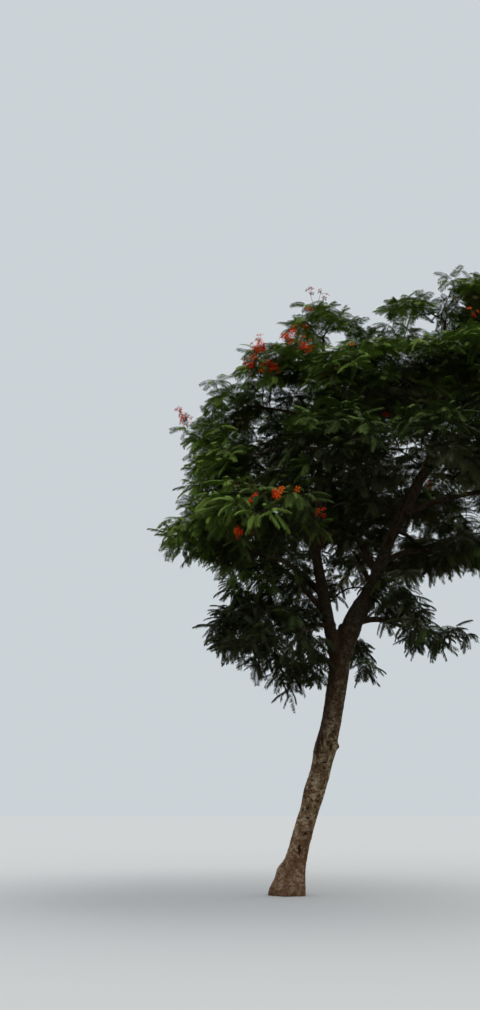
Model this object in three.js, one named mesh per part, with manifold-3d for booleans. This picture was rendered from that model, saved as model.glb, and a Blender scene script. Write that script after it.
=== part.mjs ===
// Flame tree: a roadside tree with a leaning trunk, a low fork and a wide crown of layered foliage.
// Millimetres, +Z up. The origin is the middle of the flat cut under the trunk, at ground level.
// The trunk leans towards +X. Every limb is one tapering piece that ends a little way inside the
// mass of foliage that it carries, and every mass is one closed, uneven solid.

import * as THREE from "three";
import { mergeVertices } from "three/addons/utils/BufferGeometryUtils.js";
import Module from "manifold-3d";

const wasm = await Module();
wasm.setup();

// Clear gap between touching solids
const GAP = 0.4;

// Trunk: radius above the flare, radius under the fork, and the root flare at the ground
const TRUNK_RADIUS = 202;
const FORK_RADIUS = 215;
const FORK_SWELL_START = 0.75;
const FLARE_RADIUS = 300;
const FLARE_HEIGHT = 420;
const FLARE_LOBES = 5;
const FLARE_LOBE_DEPTH = 0.09;
const TRUNK_SIDES = 15;
const TRUNK_STEPS = 10;
// The middle of the trunk at rising heights: it leans, kinks at half height and straightens
const TRUNK_LINE = [
  [0, 0, 0],
  [270, -50, 1060],
  [500, -100, 1700],
  [790, -200, 2690],
  [930, -250, 3250],
  [1090, -340, 4170],
  [1130, -360, 4520],
];

// The two boughs of the fork and the leaders that carry on from them: the points that each
// middle line passes through, and the radius at the root and at the tip
const BOUGHS = {
  bough_left: {
    line: [[1060, -360, 4380], [930, -400, 5050], [800, -400, 5970], [690, -400, 6840]],
    root: 138,
    tip: 104,
  },
  bough_right: {
    line: [[1180, -350, 4380], [1420, -390, 5160], [1900, -400, 5970], [2290, -400, 6860], [2700, -400, 7580]],
    root: 150,
    tip: 112,
  },
  leader_left: {
    line: [[700, -400, 6740], [800, -390, 7350], [900, -300, 9070], [1090, -150, 10540], [1150, 0, 12480]],
    root: 96,
    tip: 28,
  },
  leader_right: {
    line: [[2660, -400, 7500], [3120, -380, 8350], [3500, -300, 9200], [3940, -100, 11000], [4250, 0, 12950]],
    root: 108,
    tip: 34,
  },
};

// Side branches: the bough that carries each one, the share of that bough where it leaves,
// the mass that it runs into, its radii, and how far it bows upwards as a share of its length
const BRANCHES = {
  low_left: { on: "bough_left", at: 0.35, into: "leaves_low_left", root: 62, tip: 34, bow: 0.3 },
  skirt_left: { on: "bough_left", at: 0.25, into: "leaves_skirt_left", root: 52, tip: 34, bow: 0.3 },
  outer_left: { on: "bough_left", at: 0.94, into: "leaves_front_left", root: 76, tip: 38, bow: 0.16 },
  rear_left: { on: "bough_left", at: 0.53, into: "leaves_rear_left", root: 78, tip: 40, bow: 0.1 },
  front: { on: "leader_left", at: 0.05, into: "leaves_front", root: 66, tip: 36, bow: 0.08 },
  arch_left: { on: "leader_left", at: 0.42, into: "leaves_mid_left", root: 46, tip: 26, bow: 0.28 },
  upper_left: { on: "leader_left", at: 0.55, into: "leaves_upper_left", root: 40, tip: 24, bow: 0.12 },
  rear_top: { on: "leader_left", at: 0.44, into: "leaves_rear_top", root: 58, tip: 32, bow: 0.1 },
  under_rear: { on: "bough_right", at: 0.13, into: "leaves_behind_trunk", root: 50, tip: 30, bow: 0.14 },
  skirt_right: { on: "bough_right", at: 0.19, into: "leaves_skirt_right", root: 80, tip: 42, bow: 0.3 },
  heart: { on: "bough_right", at: 0.47, into: "leaves_heart", root: 60, tip: 34, bow: 0.06 },
  rear: { on: "bough_right", at: 0.56, into: "leaves_rear", root: 84, tip: 42, bow: 0.1 },
  low_right: { on: "bough_right", at: 0.62, into: "leaves_low_right", root: 64, tip: 36, bow: 0.22 },
  front_right: { on: "bough_right", at: 0.73, into: "leaves_front_right", root: 72, tip: 38, bow: 0.1 },
  rear_low: { on: "bough_right", at: 0.86, into: "leaves_rear_low", root: 62, tip: 34, bow: 0.12 },
  rear_right: { on: "bough_right", at: 0.93, into: "leaves_rear_right", root: 78, tip: 40, bow: 0.08 },
  out_low: { on: "bough_right", at: 0.97, into: "leaves_out_low", root: 76, tip: 40, bow: 0.12 },
  out_front: { on: "leader_right", at: 0.18, into: "leaves_out_front", root: 62, tip: 34, bow: 0.1 },
  rear_out: { on: "leader_right", at: 0.28, into: "leaves_rear_out", root: 60, tip: 32, bow: 0.08 },
  out_right: { on: "leader_right", at: 0.32, into: "leaves_out_right", root: 68, tip: 36, bow: 0.12 },
  out_top: { on: "leader_right", at: 0.58, into: "leaves_out_top", root: 54, tip: 30, bow: 0.08 },
  crest: { on: "leader_right", at: 0.66, into: "leaves_crest", root: 50, tip: 28, bow: 0.02 },
};
// A branch ends at this share of the way from the middle of its mass to the rim
const BRANCH_END = 0.4;
const BRANCH_STEPS = 4;
const LIMB_SIDES = 6;

// Each mass of foliage: its middle, its half sizes and the seed of its lumps
const MASSES = {
  leaves_top_left: { at: [1020, 0, 12880], half: [780, 780, 640], seed: 11 },
  leaves_shoulder: { at: [180, -450, 11230], half: [1250, 1200, 720], seed: 12 },
  leaves_upper_left: { at: [-950, 300, 10720], half: [1080, 1200, 720], seed: 13 },
  leaves_tip_left: { at: [-1620, 300, 9560], half: [1100, 1150, 720], seed: 14 },
  leaves_mid_left: { at: [-1450, -450, 8520], half: [1200, 1300, 800], seed: 15 },
  leaves_low_left: { at: [-1750, -250, 7080], half: [1250, 1300, 640], seed: 16 },
  leaves_front_left: { at: [-450, -2700, 6750], half: [1250, 1250, 680], seed: 17 },
  leaves_skirt_left: { at: [-230, -850, 4760], half: [1200, 1250, 900], seed: 18 },
  leaves_skirt_out: { at: [-1000, 500, 5300], half: [1000, 1150, 780], seed: 19 },
  leaves_front: { at: [1000, -2650, 8050], half: [1400, 1350, 860], seed: 20 },
  leaves_upper_front: { at: [1750, -1500, 10300], half: [1450, 1400, 850], seed: 21 },
  leaves_top_dip: { at: [2350, 100, 12550], half: [750, 750, 480], seed: 41 },
  leaves_top_mid: { at: [3400, 450, 13250], half: [950, 950, 640], seed: 22 },
  leaves_top_right: { at: [4500, -150, 13250], half: [1080, 1100, 700], seed: 23 },
  leaves_crest: { at: [5550, 350, 13800], half: [1100, 1150, 700], seed: 24 },
  leaves_upper_right: { at: [3700, -1700, 10700], half: [1400, 1350, 850], seed: 25 },
  leaves_front_right: { at: [2800, -3000, 7950], half: [1350, 1250, 840], seed: 26 },
  leaves_heart: { at: [1750, 1500, 7450], half: [1350, 1150, 760], seed: 42 },
  leaves_low_right: { at: [3880, 350, 6950], half: [1350, 1400, 720], seed: 27 },
  leaves_skirt_right: { at: [2880, -500, 5000], half: [1150, 1100, 620], seed: 28 },
  leaves_behind_trunk: { at: [1850, 1350, 4950], half: [720, 720, 560], seed: 29 },
  leaves_out_top: { at: [6450, 0, 12250], half: [1150, 1300, 740], seed: 30 },
  leaves_out_right: { at: [6600, -250, 10300], half: [1250, 1450, 860], seed: 31 },
  leaves_out_low: { at: [5900, 100, 8450], half: [1400, 1550, 800], seed: 32 },
  leaves_out_front: { at: [5050, -2750, 9350], half: [1350, 1300, 800], seed: 33 },
  leaves_rear_left: { at: [-550, 2850, 7850], half: [1400, 1400, 880], seed: 34 },
  leaves_rear: { at: [1600, 3650, 9200], half: [1450, 1350, 1000], seed: 35 },
  leaves_rear_right: { at: [3950, 3550, 9450], half: [1450, 1350, 950], seed: 36 },
  leaves_rear_out: { at: [5950, 2650, 10450], half: [1350, 1350, 950], seed: 37 },
  leaves_rear_top: { at: [2900, 2300, 11800], half: [1400, 1300, 860], seed: 38 },
  leaves_rear_top_left: { at: [700, 2050, 10750], half: [1450, 1400, 920], seed: 39 },
  leaves_rear_top_right: { at: [4900, 2150, 12250], half: [1400, 1300, 900], seed: 40 },
  leaves_rear_low: { at: [3900, 2600, 7450], half: [1400, 1300, 820], seed: 43 },
};

// How uneven a mass is, how flat its underside is, and how far its rim hangs
const LUMP_HEIGHT = 0.36;
const LUMP_WAVES = 5;
const LUMP_PITCH = 3.4;
const UNDERSIDE = 0.72;
const RIM_DROOP = 0.3;
const MASS_SIDES = 13;
const MASS_RINGS = 7;

// Longer than any mass, for the blocks that part two masses
const FAR = 8000;

const BARK = { color: 0x6b5a4b, roughness: 0.9, metalness: 0 };
const BOUGH_BARK = { color: 0x5a4a3d, roughness: 0.9, metalness: 0 };
const FOLIAGE = { color: 0x35521f, roughness: 0.65, metalness: 0 };

// A closed three.js geometry as a solid that can be joined and cut
function toSolid(geometry) {
  const bare = geometry.clone();
  bare.deleteAttribute("normal");
  bare.deleteAttribute("uv");
  const merged = mergeVertices(bare, 1e-3);
  const mesh = new wasm.Mesh({
    numProp: 3,
    vertProperties: merged.attributes.position.array,
    triVerts: new Uint32Array(merged.index.array),
  });
  return new wasm.Manifold(mesh);
}

// A solid as a three.js geometry
function toGeometry(solid) {
  const mesh = solid.getMesh();
  const geometry = new THREE.BufferGeometry();
  geometry.setAttribute("position", new THREE.BufferAttribute(mesh.vertProperties, 3));
  geometry.setIndex(new THREE.BufferAttribute(mesh.triVerts, 1));
  geometry.computeVertexNormals();
  return geometry;
}

// The largest body of a solid that a cut has parted
function largestBody(solid) {
  const bodies = solid.decompose();
  return bodies.reduce((best, body) => (body.volume() > best.volume() ? body : best));
}

// A smooth curve through a list of points
function curveThrough(line) {
  return new THREE.CatmullRomCurve3(line.map((point) => new THREE.Vector3(...point)), false, "centripetal");
}

// How far a mass reaches from its middle, in one direction
function reach({ half }, way) {
  return 1 / Math.hypot(way.x / half[0], way.y / half[1], way.z / half[2]);
}

// A branch bows upwards from a point on its bough to a point inside its mass
function branchCurve({ on, at, into, bow }) {
  const start = curveThrough(BOUGHS[on].line).getPointAt(at);
  const middle = new THREE.Vector3(...MASSES[into].at);
  const back = start.clone().sub(middle).normalize();
  const end = middle.addScaledVector(back, reach(MASSES[into], back) * BRANCH_END);
  const control = start.clone().lerp(end, 0.5);
  control.z += bow * start.distanceTo(end);
  return new THREE.QuadraticBezierCurve3(start, control, end);
}

// Moves a cylinder's vertices: place gets the share along it, the angle round it and the share of its radius
function shapedCylinder(sides, steps, place) {
  const geometry = new THREE.CylinderGeometry(1, 1, 1, sides, steps);
  const position = geometry.attributes.position;
  const point = new THREE.Vector3();
  for (let i = 0; i < position.count; i += 1) {
    point.fromBufferAttribute(position, i);
    const share = THREE.MathUtils.clamp(point.y + 0.5, 0, 1);
    const moved = place(share, Math.atan2(point.z, point.x), Math.hypot(point.x, point.z));
    position.setXYZ(i, moved.x, moved.y, moved.z);
  }
  return toSolid(geometry);
}

// The trunk has level rings, so that its foot is one flat cut, and lobes at the flare
function trunkSolid(grow) {
  const curve = curveThrough(TRUNK_LINE);
  return shapedCylinder(TRUNK_SIDES, TRUNK_STEPS, (share, angle, rim) => {
    const middle = curve.getPoint(share);
    const flare = Math.exp(-middle.z / FLARE_HEIGHT);
    const swell = THREE.MathUtils.smoothstep(share, FORK_SWELL_START, 1);
    const stem = THREE.MathUtils.lerp(TRUNK_RADIUS, FORK_RADIUS, swell);
    const lobe = 1 + FLARE_LOBE_DEPTH * flare * Math.cos(FLARE_LOBES * angle);
    const radius = (stem + (FLARE_RADIUS - TRUNK_RADIUS) * flare) * lobe + grow;
    const overrun = share === 1 ? grow : 0;
    return new THREE.Vector3(
      middle.x + radius * rim * Math.cos(angle),
      middle.y - radius * rim * Math.sin(angle),
      middle.z + overrun,
    );
  });
}

// A limb is a tapering tube along its curve, and grow makes it thicker and longer all over
function limbSolid({ curve, steps, root, tip }, grow) {
  const frames = curve.computeFrenetFrames(steps);
  return shapedCylinder(LIMB_SIDES, steps, (share, angle, rim) => {
    const step = Math.round(share * steps);
    const radius = (THREE.MathUtils.lerp(root, tip, share) + grow) * rim;
    const overrun = share === 1 ? grow : 0;
    return curve
      .getPointAt(share)
      .addScaledVector(frames.tangents[step], overrun)
      .addScaledVector(frames.normals[step], radius * Math.cos(angle))
      .addScaledVector(frames.binormals[step], -radius * Math.sin(angle));
  });
}

// An uneven lump: a ball with waves on it, flatter below, with a rim that hangs
function massSolid({ at, half, seed }) {
  const { seededRandom } = THREE.MathUtils;
  seededRandom(seed);
  const waves = Array.from({ length: LUMP_WAVES }, () => ({
    way: new THREE.Vector3(seededRandom() - 0.5, seededRandom() - 0.5, seededRandom() - 0.5).setLength(LUMP_PITCH),
    phase: seededRandom() * Math.PI * 2,
  }));
  const geometry = new THREE.SphereGeometry(1, MASS_SIDES, MASS_RINGS).rotateX(Math.PI / 2);
  const position = geometry.attributes.position;
  const point = new THREE.Vector3();
  for (let i = 0; i < position.count; i += 1) {
    point.fromBufferAttribute(position, i);
    const swell = waves.reduce((sum, wave) => sum + Math.cos(wave.way.dot(point) + wave.phase), 0) / LUMP_WAVES;
    const radius = 1 + LUMP_HEIGHT * swell;
    const rim = point.x * point.x + point.y * point.y;
    const height = point.z * (point.z < 0 ? UNDERSIDE : 1) * radius - RIM_DROOP * rim * rim;
    position.setXYZ(
      i,
      at[0] + half[0] * point.x * radius,
      at[1] + half[1] * point.y * radius,
      at[2] + half[2] * height,
    );
  }
  return toSolid(geometry);
}

// A block that fills everything beyond a point, in the direction of way
function blockBeyond(point, way) {
  const geometry = new THREE.BoxGeometry(2 * FAR, 2 * FAR, FAR);
  geometry.translate(0, 0, FAR / 2);
  geometry.applyQuaternion(new THREE.Quaternion().setFromUnitVectors(new THREE.Vector3(0, 0, 1), way));
  geometry.translate(point.x, point.y, point.z);
  return toSolid(geometry);
}

// Parts two masses that run into each other, along a plane between their middles
function part(solids, first, second) {
  if (solids[first].intersect(solids[second]).isEmpty()) return;
  const from = new THREE.Vector3(...MASSES[first].at);
  const way = new THREE.Vector3(...MASSES[second].at).sub(from);
  const distance = way.length();
  way.normalize();
  const near = reach(MASSES[first], way);
  const far = reach(MASSES[second], way);
  const border = from.addScaledVector(way, (distance * near) / (near + far));
  const back = way.clone().negate();
  const firstEdge = border.clone().addScaledVector(back, GAP / 2);
  const secondEdge = border.clone().addScaledVector(way, GAP / 2);
  solids[first] = largestBody(solids[first].subtract(blockBeyond(firstEdge, way)));
  solids[second] = largestBody(solids[second].subtract(blockBeyond(secondEdge, back)));
}

// Wood first: each limb is cut back from those before it, so that it sits on the one that carries it
const limbs = {};
for (const [name, bough] of Object.entries(BOUGHS)) {
  limbs[name] = { ...bough, curve: curveThrough(bough.line), steps: bough.line.length + 1 };
}
for (const [name, branch] of Object.entries(BRANCHES)) {
  limbs[name] = { ...branch, curve: branchCurve(branch), steps: BRANCH_STEPS };
}
const wood = { trunk: trunkSolid(0) };
const grownWood = [trunkSolid(GAP)];
for (const [name, limb] of Object.entries(limbs)) {
  const cut = grownWood.reduce((solid, other) => solid.subtract(other), limbSolid(limb, 0));
  wood[name] = largestBody(cut);
  grownWood.push(limbSolid(limb, GAP));
}

// Then the foliage: each mass has a socket for every limb that enters it, and is parted from its neighbours
const foliage = {};
for (const [name, mass] of Object.entries(MASSES)) {
  foliage[name] = grownWood.reduce((solid, limb) => solid.subtract(limb), massSolid(mass));
}
const massNames = Object.keys(MASSES);
massNames.forEach((first, i) => {
  massNames.slice(i + 1).forEach((second) => part(foliage, first, second));
});

const tree = new THREE.Group();
function add(name, solid, finish) {
  const mesh = new THREE.Mesh(toGeometry(solid), new THREE.MeshStandardMaterial(finish));
  mesh.name = name;
  tree.add(mesh);
}
for (const [name, solid] of Object.entries(wood)) add(name, solid, name === "trunk" ? BARK : BOUGH_BARK);
for (const [name, solid] of Object.entries(foliage)) add(name, largestBody(solid), FOLIAGE);

export default tree;
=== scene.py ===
"""Flame tree: bark, twigs, feathery leaves and blossom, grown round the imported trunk, boughs and masses."""

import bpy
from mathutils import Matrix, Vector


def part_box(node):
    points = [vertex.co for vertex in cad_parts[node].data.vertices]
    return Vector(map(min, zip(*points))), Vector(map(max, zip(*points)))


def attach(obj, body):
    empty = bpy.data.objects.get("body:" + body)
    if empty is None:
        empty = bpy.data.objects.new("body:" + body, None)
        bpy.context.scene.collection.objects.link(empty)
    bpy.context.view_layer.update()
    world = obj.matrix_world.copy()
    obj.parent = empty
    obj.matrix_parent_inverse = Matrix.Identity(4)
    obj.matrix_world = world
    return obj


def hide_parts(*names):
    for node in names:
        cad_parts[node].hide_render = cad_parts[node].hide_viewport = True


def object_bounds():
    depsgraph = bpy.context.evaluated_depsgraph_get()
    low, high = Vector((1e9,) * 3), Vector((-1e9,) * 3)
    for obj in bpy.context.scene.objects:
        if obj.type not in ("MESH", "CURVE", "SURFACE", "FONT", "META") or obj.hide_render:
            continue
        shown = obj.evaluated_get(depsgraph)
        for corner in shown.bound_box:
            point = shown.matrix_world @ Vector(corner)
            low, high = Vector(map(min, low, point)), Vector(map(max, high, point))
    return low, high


bl_info = {
    "name": "Flame Tree",
    "version": (1, 0, 0),
    "blender": (4, 5, 0),
    "location": "3D View > Sidebar > Flame Tree",
    "description": "Grows the bark, twigs, leaves and blossom of a flame tree from its limbs",
    "category": "Add Mesh",
}

import functools
import math

import bmesh
import bpy
import numpy as np
from bpy.props import FloatProperty, FloatVectorProperty, IntProperty, PointerProperty
from mathutils import Matrix, Vector, noise
from mathutils.bvhtree import BVHTree

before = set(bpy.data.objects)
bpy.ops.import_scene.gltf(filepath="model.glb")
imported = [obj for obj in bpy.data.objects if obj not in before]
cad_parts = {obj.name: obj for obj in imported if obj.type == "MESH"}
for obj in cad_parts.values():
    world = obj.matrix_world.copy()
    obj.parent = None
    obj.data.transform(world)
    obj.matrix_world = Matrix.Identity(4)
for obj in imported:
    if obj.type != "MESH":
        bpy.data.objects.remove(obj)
CAD_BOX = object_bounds()
BOX_LOW, BOX_HIGH = (np.array(corner) for corner in CAD_BOX)
UP = np.array([0.0, 0.0, 1.0])

# Seed of the branching rule, and what each other job adds to it for random draws of its own
SEED = 51
LEAF_DRAW = 1
FLOWER_DRAW = 2
CLUSTER_DRAW = 3
PLACE_DRAW = 4
SUN_DRAW = 5

# Middle lines of the trunk, the boughs and the leaders, in metres, with radii at root and tip
TRUNK_LINE = (
    (0.0, 0.0, 0.0), (0.27, -0.05, 1.06), (0.5, -0.1, 1.7), (0.79, -0.2, 2.69), (0.93, -0.25, 3.25),
    (1.09, -0.34, 4.17), (1.13, -0.36, 4.52),
)
BOUGHS = {
    "bough_left": (
        ((1.06, -0.36, 4.38), (0.93, -0.4, 5.05), (0.8, -0.4, 5.97), (0.69, -0.4, 6.84)),
        (0.138, 0.104),
    ),
    "bough_right": (
        ((1.18, -0.35, 4.38), (1.42, -0.39, 5.16), (1.9, -0.4, 5.97), (2.29, -0.4, 6.86), (2.7, -0.4, 7.58)),
        (0.15, 0.112),
    ),
    "leader_left": (
        ((0.7, -0.4, 6.74), (0.8, -0.39, 7.35), (0.9, -0.3, 9.07), (1.09, -0.15, 10.54), (1.15, 0.0, 12.48)),
        (0.096, 0.028),
    ),
    "leader_right": (
        ((2.66, -0.4, 7.5), (3.12, -0.38, 8.35), (3.5, -0.3, 9.2), (3.94, -0.1, 11.0), (4.25, 0.0, 12.95)),
        (0.108, 0.034),
    ),
}
# Side branches: the limb that carries each, the share of it where the branch leaves, radii, and upward bow
BRANCHES = {
    "low_left": ("bough_left", 0.35, 0.062, 0.034, 0.3),
    "skirt_left": ("bough_left", 0.25, 0.052, 0.034, 0.3),
    "outer_left": ("bough_left", 0.94, 0.076, 0.038, 0.16),
    "rear_left": ("bough_left", 0.53, 0.078, 0.04, 0.1),
    "front": ("leader_left", 0.05, 0.066, 0.036, 0.08),
    "arch_left": ("leader_left", 0.42, 0.046, 0.026, 0.28),
    "upper_left": ("leader_left", 0.55, 0.04, 0.024, 0.12),
    "rear_top": ("leader_left", 0.44, 0.058, 0.032, 0.1),
    "under_rear": ("bough_right", 0.13, 0.05, 0.03, 0.14),
    "skirt_right": ("bough_right", 0.19, 0.08, 0.042, 0.3),
    "heart": ("bough_right", 0.47, 0.06, 0.034, 0.06),
    "rear": ("bough_right", 0.56, 0.084, 0.042, 0.1),
    "low_right": ("bough_right", 0.62, 0.064, 0.036, 0.22),
    "front_right": ("bough_right", 0.73, 0.072, 0.038, 0.1),
    "rear_low": ("bough_right", 0.86, 0.062, 0.034, 0.12),
    "rear_right": ("bough_right", 0.93, 0.078, 0.04, 0.08),
    "out_low": ("bough_right", 0.97, 0.076, 0.04, 0.12),
    "out_front": ("leader_right", 0.18, 0.062, 0.034, 0.1),
    "rear_out": ("leader_right", 0.28, 0.06, 0.032, 0.08),
    "out_right": ("leader_right", 0.32, 0.068, 0.036, 0.12),
    "out_top": ("leader_right", 0.58, 0.054, 0.03, 0.08),
    "crest": ("leader_right", 0.66, 0.05, 0.028, 0.02),
}
# Points along the curve between two given points, along a bough and along a branch
CURVE_STEPS = 40
BOUGH_STEPS = 80
BRANCH_STEPS = 40
# A packed branch's end corners lie within this many radii of its furthest corner
TIP_REACH = 2.1
# The thin shoot that arches across the fork
ARCH_SHOOT = (
    (1.8, -0.4, 5.8), (1.6, -0.42, 5.87), (1.34, -0.42, 5.83), (1.1, -0.41, 5.69), (0.92, -0.4, 5.48),
)
ARCH_RADII = (0.022, 0.016)

# Masses of foliage joined into each piece of leaves
REGIONS = {
    "fronds_left": ["tip_left", "mid_left", "low_left", "front_left", "upper_left", "rear_left"],
    "fronds_skirt": ["skirt_left", "skirt_out", "skirt_right", "behind_trunk", "low_right"],
    "fronds_top": [
        "top_left", "shoulder", "top_dip", "top_mid", "top_right", "crest", "out_top", "rear_top_right",
    ],
    "fronds_front": ["front", "upper_front", "front_right", "upper_right", "heart"],
    "fronds_right": ["out_right", "out_low", "out_front", "rear_out", "rear_low"],
    "fronds_rear": ["rear", "rear_right", "rear_top", "rear_top_left"],
}

# Camera: its place, its tilt above level, its focal length in pixels, and the sizes of picture and sensor
CAMERA_PLACE = (-0.932, -16.0, 1.45)
CAMERA_TILT = 22.03
CAMERA_FOCAL_PIXELS = 758.6
PICTURE = (480, 1010)
SENSOR = 36.0

# Blossom that the photograph shows: pixel and number of flowers
BLOSSOM_SEEN = (
    (314, 296, 9), (308, 312, 13), (292, 338, 36), (306, 344, 32), (264, 343, 34), (253, 349, 12),
    (252, 363, 30), (271, 366, 44), (186, 416, 30), (350, 348, 1), (473, 309, 3), (385, 414, 5),
    (253, 497, 2), (277, 491, 7), (304, 486, 1), (321, 509, 4), (239, 527, 7),
)
# Foliage between and beside the masses, where the photograph shows no sky: middle and half size
FILLS = (
    ((-0.35, -0.3, 6.1), (1.0, 1.0, 0.36)), ((2.75, -0.2, 5.85), (0.7, 0.9, 0.5)),
    ((1.35, 0.6, 6.35), (0.5, 0.8, 0.35)), ((-0.05, -0.5, 4.2), (0.3, 0.3, 0.25)),
    ((1.95, -0.3, 8.6), (0.6, 1.0, 0.8)), ((0.4, 0.0, 4.42), (0.5, 0.5, 0.28)),
    ((0.3, -0.3, 5.4), (0.5, 0.6, 0.3)), ((2.15, -0.3, 5.6), (0.32, 0.5, 0.3)),
    ((0.5, 0.3, 5.7), (0.45, 0.5, 0.6)), ((0.75, 0.2, 4.3), (0.3, 0.35, 0.22)),
    ((-0.06, -0.45, 3.77), (0.08, 0.1, 0.04)), ((1.68, -0.2, 4.28), (0.1, 0.3, 0.06)),
    ((3.3, -0.45, 4.8), (0.7, 0.5, 0.2)), ((-0.3, -0.3, 11.85), (0.35, 0.4, 0.12)),
    ((-2.38, -0.4, 9.86), (0.16, 0.2, 0.06)), ((1.6, 1.7, 8.9), (0.9, 0.5, 0.5)),
    ((0.1, 1.7, 9.4), (0.6, 0.6, 0.4)), ((5.2, 1.0, 10.5), (0.6, 0.6, 0.35)),
    ((2.7, 2.4, 8.6), (0.6, 0.5, 0.4)), ((3.5, -1.6, 10.5), (1.0, 0.4, 0.5)),
    ((3.02, -0.3, 13.05), (0.28, 0.4, 0.45)), ((0.5, 0.2, 6.3), (0.25, 0.4, 0.2)),
    ((-0.85, -0.3, 5.7), (0.3, 0.4, 0.2)), ((4.32, -0.3, 13.85), (0.15, 0.3, 0.1)),
    ((1.75, -0.3, 12.55), (0.3, 0.3, 0.08)),
)
# Sky that shows through and beside the crown: pixel, and half width and height in pixels
SKY_GAPS = (
    (350, 594, 15, 14), (268, 404, 9, 8), (247, 448, 6, 8), (419, 530, 9, 12), (466, 438, 17, 9),
    (474, 593, 58, 33), (380, 640, 22, 22), (338, 668, 9, 36), (189, 390, 34, 22), (153, 461, 46, 41),
    (171, 497, 14, 10), (136, 547, 34, 26), (184, 578, 42, 27), (225, 658, 17, 13), (190, 622, 22, 34),
    (372, 306, 12, 9), (205, 386, 10, 10), (192, 455, 12, 8), (199, 566, 20, 14), (438, 296, 18, 6),
)
# Thin places, where only a share of the twigs is kept: pixel, half width and height, and the share
THIN_SPOTS = (
    (448, 302, 20, 14, 0.5), (398, 322, 48, 14, 0.3), (262, 340, 24, 10, 0.55), (238, 358, 16, 14, 0.5),
    (195, 418, 34, 18, 0.6), (428, 545, 14, 14, 0.5), (455, 632, 30, 12, 0.5), (268, 688, 18, 10, 0.5),
    (262, 628, 60, 38, 0.72), (440, 475, 45, 60, 0.8), (345, 470, 50, 60, 0.85), (300, 572, 50, 30, 0.72),
    (375, 560, 40, 40, 0.85), (345, 326, 20, 12, 0.7), (334, 306, 12, 12, 0.4), (320, 345, 14, 10, 0.5),
    (440, 640, 45, 22, 0.6), (262, 400, 28, 20, 0.8), (265, 445, 35, 14, 0.75), (285, 452, 42, 22, 0.65),
    (262, 578, 20, 10, 0.6), (425, 577, 30, 11, 0.4), (442, 318, 30, 20, 0.7), (440, 292, 22, 8, 0.3),
)
# Places of the crown with painted shade, where few leaves are bright, and with painted light, where many are:
# pixel, half width and height
SHADY_SPOTS = ((282, 450, 46, 26), (325, 425, 30, 30))
SUNNY_SPOTS = (
    (205, 442, 34, 24), (188, 540, 34, 22), (250, 385, 34, 14), (455, 375, 30, 16), (345, 375, 40, 12),
)


def length_property(label, description, value, least, most):
    """A length that a user may change"""
    return FloatProperty(
        name=label, description=description, default=value, min=least, max=most, unit="LENGTH"
    )


def number_property(label, description, value, least, most):
    """A whole number that a user may change"""
    return IntProperty(name=label, description=description, default=value, min=least, max=most)


def colour_property(label, description, value):
    """A colour that a user may change"""
    return FloatVectorProperty(
        name=label, description=description, default=value, min=0.0, max=1.0, size=3, subtype="COLOR"
    )


class FlameTreeSizes(bpy.types.PropertyGroup):
    """Sizes of the small parts of the tree"""

    leaf_length: length_property("Leaf length", "Length of one feathery leaf", 0.5, 0.2, 1.0)
    pinna_length: length_property("Pinna length", "Length of one side feather of a leaf", 0.12, 0.04, 0.3)
    pinna_pairs: number_property("Pinna pairs", "Side feathers along each side of a leaf", 11, 4, 24)
    leaves_per_spray: number_property("Leaves per spray", "Most leaves round the end of one twig", 10, 5, 14)
    spray_spacing: length_property(
        "Spray spacing", "Least distance between two ends of twigs", 0.265, 0.15, 1.0
    )
    twig_radius: length_property("Twig radius", "Radius of a twig at its end", 0.0065, 0.002, 0.03)
    flower_width: length_property("Flower width", "Width of one open flower", 0.125, 0.04, 0.3)
    bark_relief: length_property("Bark relief", "Height of the bark's furrows and rings", 0.009, 0.0, 0.05)


class FlameTreeColours(bpy.types.PropertyGroup):
    """Colours of the tree's surfaces"""

    bark_pale: colour_property("Pale bark", "Pale grey patches of the trunk", (0.62, 0.485, 0.32))
    bark_main: colour_property("Trunk bark", "Main colour of the trunk", (0.225, 0.145, 0.078))
    bark_dark: colour_property("Dark bark", "Dark blotches and scars", (0.036, 0.014, 0.005))
    # Painted shade: the left side of the upper trunk, darkened as if in the crown's shade
    bark_painted_shade: colour_property("Damp bark", "Damp left side of the upper trunk", (0.04, 0.02, 0.01))
    bark_foot: colour_property("Foot bark", "Reddish foot of the trunk", (0.16, 0.075, 0.045))
    # The boughs' own darker bark with painted shade under the crown; the trunk also turns to it towards the
    # fork
    bark_bough_shaded: colour_property("Bough bark", "Main colour of the boughs", (0.02, 0.015, 0.009))
    bark_twig: colour_property("Twig bark", "Colour of the twigs", (0.042, 0.032, 0.02))
    # Painted shade and painted light: the next five leaf colours are shaded and lit copies of one green,
    # dealt out by spray from how far the others stand in its light; the most shaded sprays get a paler one to
    # make up for their deep shade
    leaf_shade: colour_property("Shaded leaf", "Leaves deep inside the crown", (0.098, 0.104, 0.052))
    leaf_painted_shade: colour_property("Dark leaf", "Older leaves", (0.037, 0.044, 0.02))
    leaf_main: colour_property("Leaf", "Most of the leaves", (0.06, 0.086, 0.026))
    leaf_painted_lit: colour_property("Fresh leaf", "Leaves on the outer sprays", (0.098, 0.15, 0.035))
    leaf_painted_sunlit: colour_property("Bright leaf", "Young leaves at the tips", (0.165, 0.255, 0.052))
    leaf_dull: colour_property("Dull leaf", "Olive and fading leaves", (0.1, 0.088, 0.025))
    petal: colour_property("Petal", "Open petals", (0.82, 0.045, 0.014))
    petal_orange: colour_property("Orange petal", "Older and back-lit petals", (0.88, 0.13, 0.018))
    bud: colour_property("Bud", "Buds and flower stalks", (0.12, 0.1, 0.03))
    floor: colour_property("Floor", "Plain studio floor", (0.55, 0.56, 0.57))


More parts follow.
